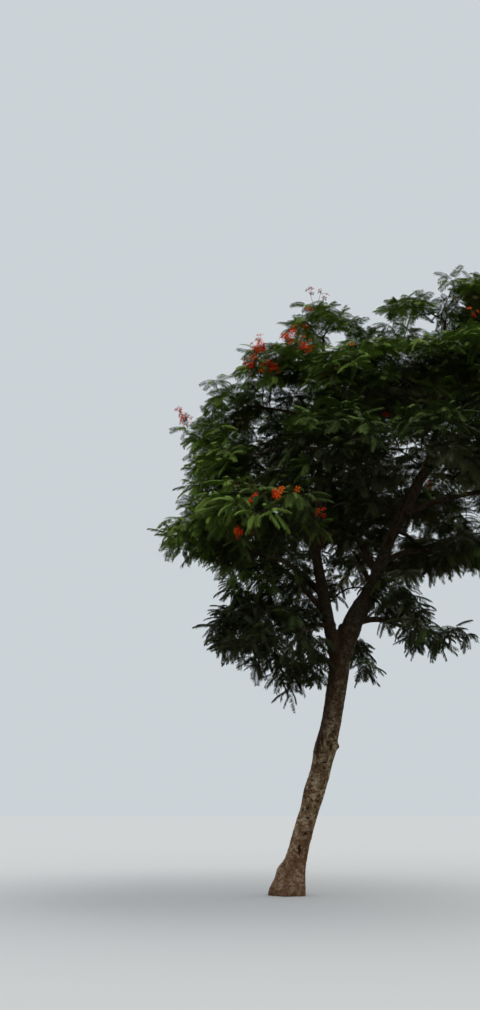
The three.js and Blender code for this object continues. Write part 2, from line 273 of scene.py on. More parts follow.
# Leaf colours from the darkest place to the brightest, as painted shade and painted light, and one for fading
# leaves; the levels that rules name
LEAF_COLOURS = ("leaf_shade", "leaf_painted_shade", "leaf_main", "leaf_painted_lit", "leaf_painted_sunlit", "leaf_dull")
DARK, MAIN, LIT_LEVEL = 1, 2, 3
DULL = 5
# Roughness and specular level of the plain finishes
LEAF_FINISH = (0.75, 0.04)
TWIG_FINISH = (0.8, 0.2)
BUD_FINISH = (0.6, 0.3)
FLOOR_FINISH = (0.9, 0.1)


def settings():
    """The sizes and colours in use"""
    scene = bpy.context.scene
    return scene.flame_tree_sizes, scene.flame_tree_colours


def draws(job=0):
    """The random draws of one job, which no other job changes"""
    return np.random.default_rng(SEED + job)


# Lines and meshes

# Least length that a way is divided by, and the rise from which a way counts as upright
TINY = 1e-9
NEAR_UPRIGHT = 0.9


def unit(vectors):
    """Vectors of length one"""
    return vectors / np.maximum(np.linalg.norm(vectors, axis=-1, keepdims=True), TINY)


def line_length(line):
    """Length along a line of points"""
    return np.linalg.norm(np.diff(line, axis=0), axis=1).sum()


def resampled(points, count):
    """A line of points at even distances along another"""
    steps = np.linalg.norm(np.diff(points, axis=0), axis=1)
    along = np.concatenate([[0.0], np.cumsum(steps)])
    even = np.linspace(0.0, along[-1], count)
    return np.stack([np.interp(even, along, points[:, axis]) for axis in range(3)], axis=1)


def blend(first, second, low, high, at):
    """Points between two others, as far from the first to the second as at lies from low to high"""
    return ((high - at) * first + (at - low) * second) / (high - low)


def smooth_line(points, count):
    """The centripetal curve through a few points, at even distances"""
    given = np.asarray(points, float)
    given = np.vstack([2 * given[0] - given[1], given, 2 * given[-1] - given[-2]])
    knots = np.concatenate([[0.0], np.cumsum(np.sqrt(np.linalg.norm(np.diff(given, axis=0), axis=1)))])
    pieces = []
    for i in range(1, len(given) - 2):
        a, b, c, d = knots[i - 1 : i + 3]
        at = np.linspace(b, c, CURVE_STEPS)[:, None]
        first = blend(given[i - 1], given[i], a, b, at)
        second = blend(given[i], given[i + 1], b, c, at)
        third = blend(given[i + 1], given[i + 2], c, d, at)
        early = blend(first, second, a, c, at)
        late = blend(second, third, b, d, at)
        pieces.append(blend(early, late, b, c, at))
    return resampled(np.vstack(pieces), count)


def frames_along(points):
    """Two cross directions at each point of a line, turned as little as possible from one to the next"""
    ways = unit(np.gradient(points, axis=0))
    side = np.zeros_like(points)
    start = (0.0, 1.0, 0.0) if abs(ways[0][2]) > NEAR_UPRIGHT else UP
    last = np.cross(ways[0], start)
    for i, way in enumerate(ways):
        last = last - way * np.dot(last, way)
        last = last / np.linalg.norm(last)
        side[i] = last
    return side, np.cross(ways, side)


def ring_faces(rows, sides):
    """Faces between rings of points, each ring closed"""
    start = np.arange(rows - 1)[:, None] * sides
    here = np.arange(sides)
    there = (here + 1) % sides
    faces = np.stack([start + here, start + there, start + sides + there, start + sides + here], -1)
    return faces.reshape(-1, 4)


def strip_faces(rows):
    """Faces of a strip with two points in each row"""
    return np.arange(rows - 1)[:, None] * 2 + np.array([0, 1, 3, 2])


class MeshBuilder:
    """Points and faces gathered block by block and made into one mesh"""

    def __init__(self):
        self.places = []
        self.faces = []
        self.slots = []
        self.count = 0

    def add(self, places, faces, slot=0):
        """Adds points and the faces between them"""
        places = np.reshape(places, (-1, 3))
        faces = np.asarray(faces)
        self.places.append(places)
        self.faces.append(faces + self.count)
        self.slots.append(np.full(len(faces), slot))
        self.count += len(places)

    def tube(self, points, radii, sides, slot=0, cross=None):
        """A closed tube along a line, with a radius for each point or for each corner of each ring"""
        side, other = cross or frames_along(points)
        angle = np.arange(sides) * (2 * math.pi / sides)
        ring = np.cos(angle)[None, :, None] * side[:, None] + np.sin(angle)[None, :, None] * other[:, None]
        radii = np.reshape(radii, (len(points), -1, 1))
        first = self.count
        self.add(points[:, None] + radii * ring, ring_faces(len(points), sides), slot)
        caps = np.array([np.arange(sides)[::-1], (len(points) - 1) * sides + np.arange(sides)])
        self.faces.append(caps + first)
        self.slots.append(np.full(2, slot))

    def stamp(self, shape, places, slot=None):
        """Adds a shape once, with its points already placed, in its own slots or all in one"""
        for faces, slots in zip(shape.faces, shape.slots):
            self.faces.append(faces + self.count)
            self.slots.append(slots if slot is None else np.full(len(faces), slot))
        self.places.append(places)
        self.count += len(places)

    def copies(self, shape, blocks, slots):
        """Adds a shape many times, with its points already placed and one slot for each copy"""
        starts = np.arange(len(blocks))[:, None, None] * blocks.shape[1]
        for faces in shape.faces_by_size():
            self.faces.append((faces + starts).reshape(-1, faces.shape[1]) + self.count)
            self.slots.append(np.repeat(slots, len(faces)))
        self.places.append(blocks.reshape(-1, 3))
        self.count += blocks.shape[0] * blocks.shape[1]

    def faces_by_size(self):
        """Its faces in one array for each number of corners"""
        sizes = sorted({faces.shape[1] for faces in self.faces})
        return [np.vstack([faces for faces in self.faces if faces.shape[1] == size]) for size in sizes]

    def piece(self, name, materials, smooth):
        """A Blender object that holds everything gathered"""
        mesh = bpy.data.meshes.new(name)
        sizes = np.concatenate([np.full(len(faces), faces.shape[1]) for faces in self.faces])
        corners = np.concatenate([faces.ravel() for faces in self.faces])
        mesh.vertices.add(self.count)
        mesh.vertices.foreach_set("co", np.concatenate(self.places).astype(np.float32).ravel())
        mesh.loops.add(len(corners))
        mesh.loops.foreach_set("vertex_index", corners.astype(np.int32))
        mesh.polygons.add(len(sizes))
        mesh.polygons.foreach_set("loop_start", np.concatenate([[0], np.cumsum(sizes)[:-1]]).astype(np.int32))
        mesh.polygons.foreach_set("material_index", np.concatenate(self.slots).astype(np.int32))
        mesh.polygons.foreach_set("use_smooth", np.full(len(sizes), smooth))
        mesh.update(calc_edges=True)
        for material in materials:
            mesh.materials.append(material)
        return linked(name, mesh)


def linked(name, data):
    """A new object in the scene"""
    piece = bpy.data.objects.new(name, data)
    bpy.context.scene.collection.objects.link(piece)
    return piece


def join_tree(piece, nodes=()):
    """Tells the frame what a piece rides on, and hides the imported parts that it replaces"""
    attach(piece, "root")
    if nodes:
        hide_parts(*nodes)


def limb_tip(name, start, radius):
    """The middle of the end of a packed branch, which is its end furthest from where it leaves its bough"""
    places = np.array([corner.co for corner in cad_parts[name].data.vertices])
    furthest = places[np.argmax(np.linalg.norm(places - start, axis=1))]
    return places[np.linalg.norm(places - furthest, axis=1) < TIP_REACH * radius].mean(axis=0)


@functools.cache
def limbs():
    """Middle line and radii of each limb, from the trunk outwards"""
    made = {name: (smooth_line(line, BOUGH_STEPS), *radii) for name, (line, radii) in BOUGHS.items()}
    for name, (carrier, share, root, tip, bow) in BRANCHES.items():
        line = made[carrier][0]
        start = line[round(share * (len(line) - 1))]
        end = limb_tip(name, start, tip)
        control = (start + end) / 2 + bow * np.linalg.norm(end - start) * UP
        at = np.linspace(0.0, 1.0, BRANCH_STEPS)[:, None]
        curve = (1 - at) ** 2 * start + 2 * at * (1 - at) * control + at**2 * end
        made[name] = (resampled(curve, BRANCH_STEPS), root, tip)
    return made


def camera_view(places):
    """Picture pixels of some places, and their distances from the camera"""
    tilt = math.radians(CAMERA_TILT)
    offset = np.asarray(places, float) - np.array(CAMERA_PLACE)
    depth = offset[..., 1] * math.cos(tilt) + offset[..., 2] * math.sin(tilt)
    rise = offset[..., 2] * math.cos(tilt) - offset[..., 1] * math.sin(tilt)
    across = PICTURE[0] / 2 + CAMERA_FOCAL_PIXELS * offset[..., 0] / depth
    down = PICTURE[1] / 2 - CAMERA_FOCAL_PIXELS * rise / depth
    return np.stack([across, down], -1), depth


def pixel_way(x, y):
    """The way from the camera through one pixel of its picture"""
    tilt = math.radians(CAMERA_TILT)
    across = (x - PICTURE[0] / 2) / CAMERA_FOCAL_PIXELS
    rise = (PICTURE[1] / 2 - y) / CAMERA_FOCAL_PIXELS
    return np.array([across, math.cos(tilt) - rise * math.sin(tilt), math.sin(tilt) + rise * math.cos(tilt)])


def in_spot(pixels, spot):
    """Which pixels lie in a spot, an upright ellipse given by its middle and its half width and height"""
    return np.linalg.norm((pixels - spot[:2]) / spot[2:4], axis=1) < 1


# Crown: where the twigs end, and how they grow there

# Depths under a mass's surface between which most twigs end, and the share of deeper ends that is kept
SHELL_DEPTHS = (0.12, 0.62)
INNER_SHARE = 0.45
# Places tried in each cubic metre of a mass's box, in the whole box and in each fill
TRIES_PER_CUBIC_METRE = 150
LOOSE_TRIES = 40000
FILL_TRIES = 150
# Twigs also end between two masses, up to this many half sizes from the middle of the second
WEB_REACH = 1.25
# Growth: length of a step, how near an end counts as reached, most steps, and how each step finds its way
GROWTH_STEP = 0.15
GROWTH_REACH = 0.17
GROWTH_ROUNDS = 60
GROWTH_KEEP = 0.55
GROWTH_WANDER = 0.22
ROOT_PUSH = 0.3
# Twigs start on each limb beyond one part in this many of its length, at each point of this step
ROOTS_BEYOND = 4
ROOTS_STEP = 2
# Ways that light reaches the leaves from, how much weaker each is, and its loss for each metre below the top
LIGHTS = (
    ((0.0, 0.1, 0.99), 0.85, 1.0),
    ((-0.93, 0.05, 0.37), 0.75, 0.0),
    ((0.93, 0.05, 0.37), 1.0, 0.6),
    ((0.0, 0.93, 0.37), 1.3, 0.5),
    ((0.0, -0.5, 0.86), 0.8, 3.0),
)
LIT_FROM_HEIGHT = 10.8
# Cones in which sprays stand in another's light: reach, cosine of the half angle, and weight of the far one
NEAR_CONE = (1.1, 0.5)
FAR_CONE = (5.0, 0.8)
FAR_WEIGHT = 0.12
CROWN_MIDDLE = np.array([2.4, 0.4, 8.6])
# Seen blossom: distances searched from the camera and their number, how many half sizes from a mass's
# middle the search ends, how far before that place a cluster stands, how far back it may stand at most,
# and how it stands on the end of its twig
BLOSSOM_SEARCH = (11.0, 24.0, 261)
BLOSSOM_DEPTH = 0.92
BLOSSOM_AHEAD = 0.15
BLOSSOM_FRONT = -0.4
BLOSSOM_STAND = np.array([0.0, -0.15, 0.23])


@functools.cache
def masses():
    """Names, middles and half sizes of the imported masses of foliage"""
    names = np.array([short for region in REGIONS.values() for short in region])
    boxes = np.array([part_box("leaves_" + short) for short in names], float)
    return names, boxes.mean(axis=1), (boxes[:, 1] - boxes[:, 0]) / 2


def away_from_masses(places):
    """Distance of each place from the middle of each mass, in half sizes of the mass"""
    _, middles, halves = masses()
    return np.linalg.norm((places[:, None] - middles) / halves, axis=2)


@functools.cache
def blossom_places():
    """Middles of the clusters that the photograph shows, each before the first mass on its pixel's way"""
    along = np.linspace(*BLOSSOM_SEARCH)[:, None]
    found = []
    for x, y, _ in BLOSSOM_SEEN:
        way = pixel_way(x, y)
        ray = np.array(CAMERA_PLACE) + along * way
        ray = ray[ray[:, 1] < BLOSSOM_FRONT]
        away = away_from_masses(ray).min(axis=1)
        within = np.flatnonzero(away < BLOSSOM_DEPTH)
        found.append(ray[within[0] if len(within) else away.argmin()] - BLOSSOM_AHEAD * unit(way))
    return np.array(found)


def inner_places(rng):
    """Places inside the masses, mostly near their surface, and the index of the mass of each"""
    found = []
    marks = []
    for k, (short, middle, half) in enumerate(zip(*masses())):
        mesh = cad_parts["leaves_" + short].data
        surface = BVHTree.FromPolygons([v.co for v in mesh.vertices], [p.vertices for p in mesh.polygons])
        tries = int(TRIES_PER_CUBIC_METRE * np.prod(2 * half))
        for place in middle + rng.uniform(-1, 1, (tries, 3)) * half:
            nearest, normal, _, depth = surface.find_nearest(Vector(place))
            inside = (Vector(place) - nearest).dot(normal) < 0
            if inside and depth > SHELL_DEPTHS[0] and (depth < SHELL_DEPTHS[1] or rng.random() < INNER_SHARE):
                found.append(place)
                marks.append(k)
    return found, marks


def loose_places(rng):
    """Places in the joins between masses and in the fills"""
    tries = BOX_LOW + rng.random((LOOSE_TRIES, 3)) * (BOX_HIGH - BOX_LOW)
    away = np.sort(away_from_masses(tries), axis=1)
    found = [tries[(away[:, 0] > 1) & (away[:, 1] < WEB_REACH)]]
    for middle, half in FILLS:
        within = unit(rng.normal(size=(FILL_TRIES, 3))) * rng.random((FILL_TRIES, 1)) ** (1 / 3)
        found.append(middle + within * half)
    return np.vstack(found)


def spread_out(places, spacing):
    """Indexes of the places that keep their distance from every earlier one"""
    kept = np.empty((len(places), 3))
    chosen = []
    for i, place in enumerate(places):
        near = kept[: len(chosen)]
        if len(chosen) and ((near - place) ** 2).sum(axis=1).min() < spacing**2:
            continue
        kept[len(chosen)] = place
        chosen.append(i)
    return np.array(chosen)


def spray_places(rng):
    """Ends of twigs with the mass that each belongs to: blossom first, spread out, clear of the sky's gaps"""
    inner, marks = inner_places(rng)
    loose = loose_places(rng)
    found = np.vstack([inner, loose])
    marks = np.concatenate([marks, away_from_masses(loose).argmin(axis=1)]).astype(int)
    chances = draws(PLACE_DRAW).random((len(found), 2))
    pixels, _ = camera_view(found)
    clear = ~np.any([in_spot(pixels, gap) for gap in SKY_GAPS], axis=0)
    stays = clear.copy()
    for spot in THIN_SPOTS:
        stays &= ~in_spot(pixels, spot) | (chances[:, 1] < spot[4])
    order = np.argsort(chances[:, 0])
    order = order[clear[order]]
    blossom = blossom_places() - BLOSSOM_STAND
    order = np.concatenate([len(found) + np.arange(len(blossom)), order])
    found = np.vstack([found, blossom])
    marks = np.concatenate([marks, away_from_masses(blossom).argmin(axis=1)])
    stays = np.concatenate([stays, np.full(len(blossom), True)])
    order = order[spread_out(found[order], settings()[0].spray_spacing)]
    order = order[stays[order]]
    return found[order], masses()[0][marks[order]]


def crowding(places, ways, reach, spread):
    """How many other ends lie within reach of each end and within a cone of its way"""
    counts = np.zeros(len(places))
    for i, place in enumerate(places):
        offset = places - place
        distance = np.linalg.norm(offset, axis=1)
        counts[i] = ((distance < reach) & (offset @ ways[i] > spread * distance) & (distance > 0)).sum()
    return counts


def grow(roots, ends, rng):
    """Grows twigs from the roots towards the ends, each end pulling at the point nearest to it"""
    places = [np.asarray(roots, float)]
    ways = [np.tile(ROOT_PUSH * UP, (len(roots), 1))]
    parents = [np.full(len(roots), -1)]
    nearest = np.zeros(len(ends), int)
    distance = np.full(len(ends), np.inf)
    reached = np.full(len(ends), -1)
    fresh = places[0]
    base = 0
    for _ in range(GROWTH_ROUNDS):
        gaps = np.linalg.norm(ends[:, None] - fresh[None], axis=2)
        best = gaps.argmin(axis=1)
        gap = gaps[np.arange(len(ends)), best]
        closer = gap < distance
        nearest[closer] = best[closer] + base
        distance[closer] = gap[closer]
        done = (distance < GROWTH_REACH) & (reached < 0)
        reached[done] = nearest[done]
        active = reached < 0
        if not active.any():
            break
        everywhere = np.vstack(places)
        pull = np.zeros_like(everywhere)
        np.add.at(pull, nearest[active], unit(ends[active] - everywhere[nearest[active]]))
        pulled = np.unique(nearest[active])
        way = unit(unit(pull[pulled]) + GROWTH_KEEP * np.vstack(ways)[pulled])
        way = unit(way + GROWTH_WANDER * rng.normal(size=way.shape))
        base = len(everywhere)
        fresh = everywhere[pulled] + GROWTH_STEP * way
        places.append(fresh)
        ways.append(way)
        parents.append(pulled)
    reached = np.where(reached < 0, nearest, reached)
    return np.vstack(places), np.vstack(ways), np.concatenate(parents), reached


@functools.cache
def crown():
    """What the branching rule grows: points with their parents and loads, and the sprays at the ends"""
    rng = draws()
    ends, homes = spray_places(rng)
    roots = np.vstack([line[len(line) // ROOTS_BEYOND :: ROOTS_STEP] for line, _, _ in limbs().values()])
    places, ways, parents, reached = grow(roots, ends, rng)
    load = np.zeros(len(places))
    np.add.at(load, reached, 1.0)
    for i in range(len(places) - 1, len(roots) - 1, -1):
        load[parents[i]] += load[i]
    shades = []
    for way, weight, loss in LIGHTS:
        light = np.tile(unit(np.array(way)), (len(ends), 1))
        near, far = (crowding(ends, light, *cone) for cone in (NEAR_CONE, FAR_CONE))
        below = np.maximum(LIT_FROM_HEIGHT - ends[:, 2], 0.0)
        shades.append(weight * (near + FAR_WEIGHT * far) + loss * below)
    return {
        "places": places, "parents": parents, "load": load, "roots": len(roots),
        "sprays": places[reached], "spray_ways": ways[reached], "homes": homes,
        "shaded": np.min(shades, axis=0),
        "buried": crowding(ends, unit(ends - CROWN_MIDDLE), *NEAR_CONE),
    }


# Materials

COLOUR_SOCKET = "NodeSocketColor"
NUMBER_SOCKET = "NodeSocketFloat"
PLACE_SOCKET = "NodeSocketVector"
NOISE_ROUGHNESS = 0.6
# Layers of bark: the noise's scale, detail and upright squeeze, and the values between which it turns on
BARK_LAYERS = {
    "patches": (8.0, 5.0, 0.8, (0.45, 0.6)),
    "mottle": (20.0, 5.0, 1.4, (0.46, 0.62)),
    "blotches": (8.0, 5.0, 0.8, (0.45, 0.33)),
    "streaks": (13.0, 4.0, 1.5, (0.53, 0.6)),
    "pores": (34.0, 3.0, 2.4, (0.55, 0.62)),
}
GRAIN = (90.0, 3.0, 1.0)
# How strongly some layers darken the bark, how far they raise or sink it, and how its roughness varies
MOTTLE_SHARE = 0.6
BLOTCH_SHARE = 0.5
PORE_SHARE = 0.5
MOTTLE_HEIGHT = 0.5
GRAIN_HEIGHT = 0.35
PORE_DEPTH = 0.6
BARK_ROUGHNESS = (0.2, 0.68)
BARK_SPECULAR = 0.1
BARK_BUMP = (("Strength", 0.55), ("Distance", 0.012))
# The ragged edge of a scar: scale and detail of its noise, how ragged it is, and where the mask turns on
SCAR_NOISE = (30.0, 4.0, 1.0)
SCAR_RAGGED = 2.2
SCAR_EDGE = (2.3, 1.7)
# Dark scars on the trunk: place of the middle, half width and half height
SCARS = (
    ((1.04, -0.26, 2.66), 0.07, 0.06), ((0.19, -0.23, 0.8), 0.035, 0.11), ((0.36, -0.27, 1.35), 0.045, 0.025),
    ((0.32, -0.25, 1.07), 0.04, 0.035), ((0.36, -0.28, 1.52), 0.05, 0.035), ((0.58, -0.33, 2.72), 0.08, 0.26),
    ((0.72, -0.36, 2.35), 0.05, 0.02), ((0.69, -0.37, 2.78), 0.035, 0.2), ((0.86, -0.4, 2.6), 0.03, 0.14),
    ((1.15, -0.55, 4.75), 0.035, 0.3), ((0.29, -0.22, 1.95), 0.07, 0.22),
)
# The trunk's marks: the heights between which each turns on, or for the side with painted shade the distances
# beside the trunk's middle, and their strengths; and how far the trunk leans for each metre up
FOOT_FADE = (2.2, 0.1)
FOOT_SHARE = 0.5
# Painted shade: the trunk darkens to the bough colour towards the fork, as under the crown
FORK_SHADE_FADE = (1.2, 5.6)
FORK_SHADE_SHARE = 0.95
# Painted shade on the left side of the upper trunk
SIDE_SHADE_BESIDE = (0.2, -0.1)
SIDE_SHADE_START = (2.0, 3.1)
SIDE_SHADE_END = (5.2, 4.4)
SIDE_SHADE_SHARE = 0.8
TRUNK_LEAN = 0.2486
# Shares of pale patches and dark streaks in the bark of the trunk and of the limbs
TRUNK_BARK = (0.75, 0.8)
LIMB_BARK = (0.16, 0.5)


def node_group(name, inputs, outputs):
    """An empty shader node group with named inputs and outputs"""
    group = bpy.data.node_groups.new(name, "ShaderNodeTree")
    for way, sockets in (("INPUT", inputs), ("OUTPUT", outputs)):
        for label, kind in sockets.items():
            group.interface.new_socket(label, in_out=way, socket_type=kind)
    return group, group.nodes.new("NodeGroupInput"), group.nodes.new("NodeGroupOutput")


class Wiring:
    """Adds nodes to a tree and joins them"""

    def __init__(self, tree):
        self.tree = tree

    def node(self, kind, values=(), **options):
        """A node with its options, and values or links for its inputs"""
        node = self.tree.nodes.new(kind)
        for key, value in options.items():
            setattr(node, key, value)
        self.fill(node, values)
        return node

    def fill(self, node, values):
        """Sets or links some inputs of a node"""
        for key, value in values:
            if isinstance(value, bpy.types.NodeSocket):
                self.tree.links.new(value, node.inputs[key])
            else:
                node.inputs[key].default_value = value

    def placed(self, group, **values):
        """A node group placed with its own values"""
        return self.node("ShaderNodeGroup", values.items(), node_tree=group)

    def maths(self, operation, first, second):
        """Two numbers taken together"""
        return self.node("ShaderNodeMath", ((0, first), (1, second)), operation=operation).outputs[0]

    def product(self, first, *others):
        """Numbers multiplied"""
        for other in others:
            first = self.maths("MULTIPLY", first, other)
        return first

    def mix(self, share, first, second):
        """A share of the second colour over the first"""
        return self.node("ShaderNodeMix", ((0, share), (6, first), (7, second)), data_type="RGBA").outputs[2]

    def ramp(self, value, low, high):
        """How far a value lies from low to high, eased at both ends"""
        values = (("Value", value), ("From Min", low), ("From Max", high))
        return self.node("ShaderNodeMapRange", values, interpolation_type="SMOOTHSTEP").outputs[0]

    def noise(self, place, scale, detail, rise):
        """Noise whose upright waves are shorter by a factor"""
        mapping = self.node("ShaderNodeMapping", (("Vector", place), ("Scale", (1.0, 1.0, rise))))
        values = (("Scale", scale), ("Detail", detail), ("Roughness", NOISE_ROUGHNESS))
        return self.node("ShaderNodeTexNoise", (("Vector", mapping.outputs[0]), *values)).outputs["Fac"]


@functools.cache
def bark_group():
    """Blotched bark: pale patches, dark level streaks and fine pores, with a height for bump"""
    inputs = {name: COLOUR_SOCKET for name in ("Main", "Pale", "Dark")}
    inputs.update({name: NUMBER_SOCKET for name in ("Patches", "Streaks")})
    outputs = {"Colour": COLOUR_SOCKET, "Roughness": NUMBER_SOCKET, "Height": NUMBER_SOCKET}
    group, given, result = node_group("Blotched bark", inputs, outputs)
    wiring = Wiring(group)
    place = wiring.node("ShaderNodeTexCoord").outputs["Object"]
    layers = {
        name: wiring.ramp(wiring.noise(place, scale, detail, rise), *turn)
        for name, (scale, detail, rise, turn) in BARK_LAYERS.items()
    }
    grain = wiring.noise(place, *GRAIN)
    streaks = given.outputs["Streaks"]
    shade = given.outputs["Main"]
    for share, colour in (
        (wiring.product(layers["patches"], given.outputs["Patches"]), "Pale"),
        (wiring.product(layers["mottle"], MOTTLE_SHARE), "Dark"),
        (wiring.product(layers["blotches"], streaks, BLOTCH_SHARE), "Dark"),
        (wiring.product(layers["streaks"], streaks), "Dark"),
        (wiring.product(layers["pores"], PORE_SHARE), "Dark"),
    ):
        shade = wiring.mix(share, shade, given.outputs[colour])
    height = wiring.maths(
        "ADD", wiring.product(layers["mottle"], MOTTLE_HEIGHT), wiring.product(grain, GRAIN_HEIGHT)
    )
    height = wiring.maths("SUBTRACT", height, wiring.product(layers["pores"], PORE_DEPTH))
    varies, least = BARK_ROUGHNESS
    rough = wiring.maths("ADD", wiring.product(grain, varies), least)
    wiring.fill(result, (("Colour", shade), ("Roughness", rough), ("Height", height)))
    return group


@functools.cache
def scar_group():
    """Dark scar: a mask round one place on the bark, with a ragged edge"""
    inputs = {"Middle": PLACE_SOCKET, "Width": NUMBER_SOCKET, "Rise": NUMBER_SOCKET}
    group, given, result = node_group("Dark scar", inputs, {"Mask": NUMBER_SOCKET})
    wiring = Wiring(group)
    place = wiring.node("ShaderNodeTexCoord").outputs["Object"]
    values = ((0, place), (1, given.outputs["Middle"]))
    offset = wiring.node("ShaderNodeVectorMath", values, operation="SUBTRACT").outputs[0]
    wide = given.outputs["Width"]
    size = wiring.node("ShaderNodeCombineXYZ", ((0, wide), (1, wide), (2, given.outputs["Rise"]))).outputs[0]
    away = wiring.node("ShaderNodeVectorMath", ((0, offset), (1, size)), operation="DIVIDE").outputs[0]
    away = wiring.node("ShaderNodeVectorMath", ((0, away),), operation="LENGTH").outputs["Value"]
    ragged = wiring.maths("ADD", away, wiring.product(wiring.noise(place, *SCAR_NOISE), SCAR_RAGGED))
    wiring.fill(result, (("Mask", wiring.ramp(ragged, *SCAR_EDGE)),))
    return group


def trunk_marks(wiring, shade):
    """The trunk's bark with its reddish foot, its scars, painted shade towards the fork and painted shade on
    its left side
    """
    _, colours = settings()
    place = wiring.node("ShaderNodeTexCoord").outputs["Object"]
    across, _, height = wiring.node("ShaderNodeSeparateXYZ", ((0, place),)).outputs
    foot = wiring.product(wiring.ramp(height, *FOOT_FADE), FOOT_SHARE)
    shade = wiring.mix(foot, shade, (*colours.bark_foot, 1))
    for middle, width, rise in SCARS:
        scar = wiring.placed(scar_group(), Middle=middle, Width=width, Rise=rise)
        shade = wiring.mix(scar.outputs["Mask"], shade, (*colours.bark_dark, 1))
    # Painted shade: the trunk turns to the bough colour towards the fork
    fork = wiring.product(wiring.ramp(height, *FORK_SHADE_FADE), FORK_SHADE_SHARE)
    shade = wiring.mix(fork, shade, (*colours.bark_bough_shaded, 1))
    # Painted shade on the left side of the upper trunk
    beside = wiring.maths("SUBTRACT", across, wiring.product(height, TRUNK_LEAN))
    side_shade = wiring.product(
        wiring.ramp(beside, *SIDE_SHADE_BESIDE),
        wiring.ramp(height, *SIDE_SHADE_START),
        wiring.ramp(height, *SIDE_SHADE_END),
        SIDE_SHADE_SHARE,
    )
    return wiring.mix(side_shade, shade, (*colours.bark_painted_shade, 1))


def new_material(name):
    """A material with nodes, and its shader"""
    material = bpy.data.materials.new(name)
    material.use_nodes = True
    return material, material.node_tree.nodes["Principled BSDF"]


def bark_material(name, main, pale, shares, marks=None):
    """Bark with its own colours and shares of patches and streaks; marks may change its colour further"""
    material, shader = new_material(name)
    wiring = Wiring(material.node_tree)
    dark = settings()[1].bark_dark
    patches, streaks = shares
    bark = wiring.placed(
        bark_group(), Main=(*main, 1), Pale=(*pale, 1), Dark=(*dark, 1), Patches=patches, Streaks=streaks
    )
    shade = bark.outputs["Colour"]
    if marks:
        shade = marks(wiring, shade)
    bump = wiring.node("ShaderNodeBump", (("Height", bark.outputs["Height"]), *BARK_BUMP))
    wiring.fill(shader, (
        ("Base Color", shade),
        ("Roughness", bark.outputs["Roughness"]),
        ("Specular IOR Level", BARK_SPECULAR),
        ("Normal", bump.outputs["Normal"]),
    ))
    return material


def plain_material(name, colour, roughness, specular):
    """One even colour, for leaves, twigs and blossom that are dealt out by spray"""
    material, shader = new_material(name)
    values = (("Base Color", (*colour, 1)), ("Roughness", roughness), ("Specular IOR Level", specular))
    Wiring(material.node_tree).fill(shader, values)
    return material


# Wood

# Trunk: radii of its stem, at the fork and of the root flare at the ground; the flare's height and lobes; and
# the trunk's rings and their sides
TRUNK_RADIUS = 0.202
FORK_RADIUS = 0.215
FLARE_RADIUS = 0.3
FLARE_HEIGHT = 0.32
FLARE_LOBES = 5
FLARE_LOBE_DEPTH = 0.14
TRUNK_STEPS = 90
TRUNK_SIDES = 40
# The trunk swells towards the fork from this share of its height
SWELL_FROM = 0.75
# The trunk is a little slimmer round this height: the height, its reach and how much slimmer
WAIST = (1.05, 0.6, 0.014)
# How far the trunk is carried on below the ground before it is cut off level there
BELOW_GROUND = np.array([0.04, -0.01, 0.16])
# Points this low are part of the flat cut and stay level
CUT_HEIGHT = 0.004
# The web of wood between the two boughs of the fork
FORK_WEB = ((1.12, -0.33, 4.4), (1.15, -0.34, 4.75), (1.22, -0.36, 5.08))
FORK_WEB_RADII = (0.17, 0.07)
# Length and spread of the collar where each bough leaves the trunk; a limb's length is in radii of its root
BOUGH_COLLARS = {"bough_left": (0.5, 0.1), "bough_right": (1.0, 0.3)}
LIMB_COLLAR = (1.8, 0.5)
# One skin over trunk and fork: its voxel, and how it is smoothed
SKIN_VOXEL = 0.0155
SKIN_SOFTNESS = 0.5
SKIN_PASSES = 7
# Sides of the boughs, the web, the limbs and the shoot; points along the web and the shoot; the distance
# between points along a limb, and their least number
BOUGH_SIDES = 24
WEB_SIDES = 20
LIMB_SIDES = 14
SHOOT_SIDES = 8
WEB_STEPS = 12
SHOOT_STEPS = 30
LIMB_SPACING = 0.07
LEAST_LIMB_STEPS = 12
# Relief: waves in each metre across and up, for swells, furrows and rings; heights of swells and rings
# beside the furrows' one; octaves of the furrows; and the share of the relief that limbs have
RELIEF_WAVES = ((2.1, 1.3), (11, 2.6), (5, 30))
SWELL_HEIGHT = 1.5
RING_HEIGHT = 0.45
FURROW_OCTAVES = 3
LIMB_RELIEF = 0.6
# Bumps on the trunk: place of the middle, width, height, and depth of the scar in it
KNOTS = (
    ((0.99, -0.24, 2.66), 0.05, 0.055, 0.0), ((0.93, -0.3, 2.56), 0.14, 0.022, 0.0),
    ((0.61, -0.2, 2.64), 0.18, 0.035, 0.0), ((0.34, -0.15, 1.83), 0.15, 0.035, 0.0),
    ((0.8, -0.42, 2.1), 0.06, 0.022, 0.02), ((1.02, -0.5, 3.45), 0.06, 0.02, 0.018),
    ((-0.14, -0.08, 0.42), 0.15, 0.1, 0.0), ((-0.27, -0.08, 0.1), 0.2, 0.12, 0.0),
    ((0.15, -0.25, 0.18), 0.16, 0.05, 0.0), ((1.72, -0.42, 5.32), 0.2, 0.09, 0.0),
    ((1.5, -0.4, 4.98), 0.22, 0.06, 0.0),
)
# Bumps are drawn out upright, and the scar in one has this share of its width
KNOT_SQUASH = (1.0, 1.0, 0.8)
KNOT_SCAR = 0.45
# Twigs: how fast they thicken with the sprays they carry, how much thicker they start and thinner they end,
# the radius of a thick one, and the sides of a thin and a thick one
TWIG_POWER = 2.4
TWIG_START = 1.15
TWIG_END = 0.5
THICK_TWIG = 0.013
TWIG_SIDES = (3, 5)


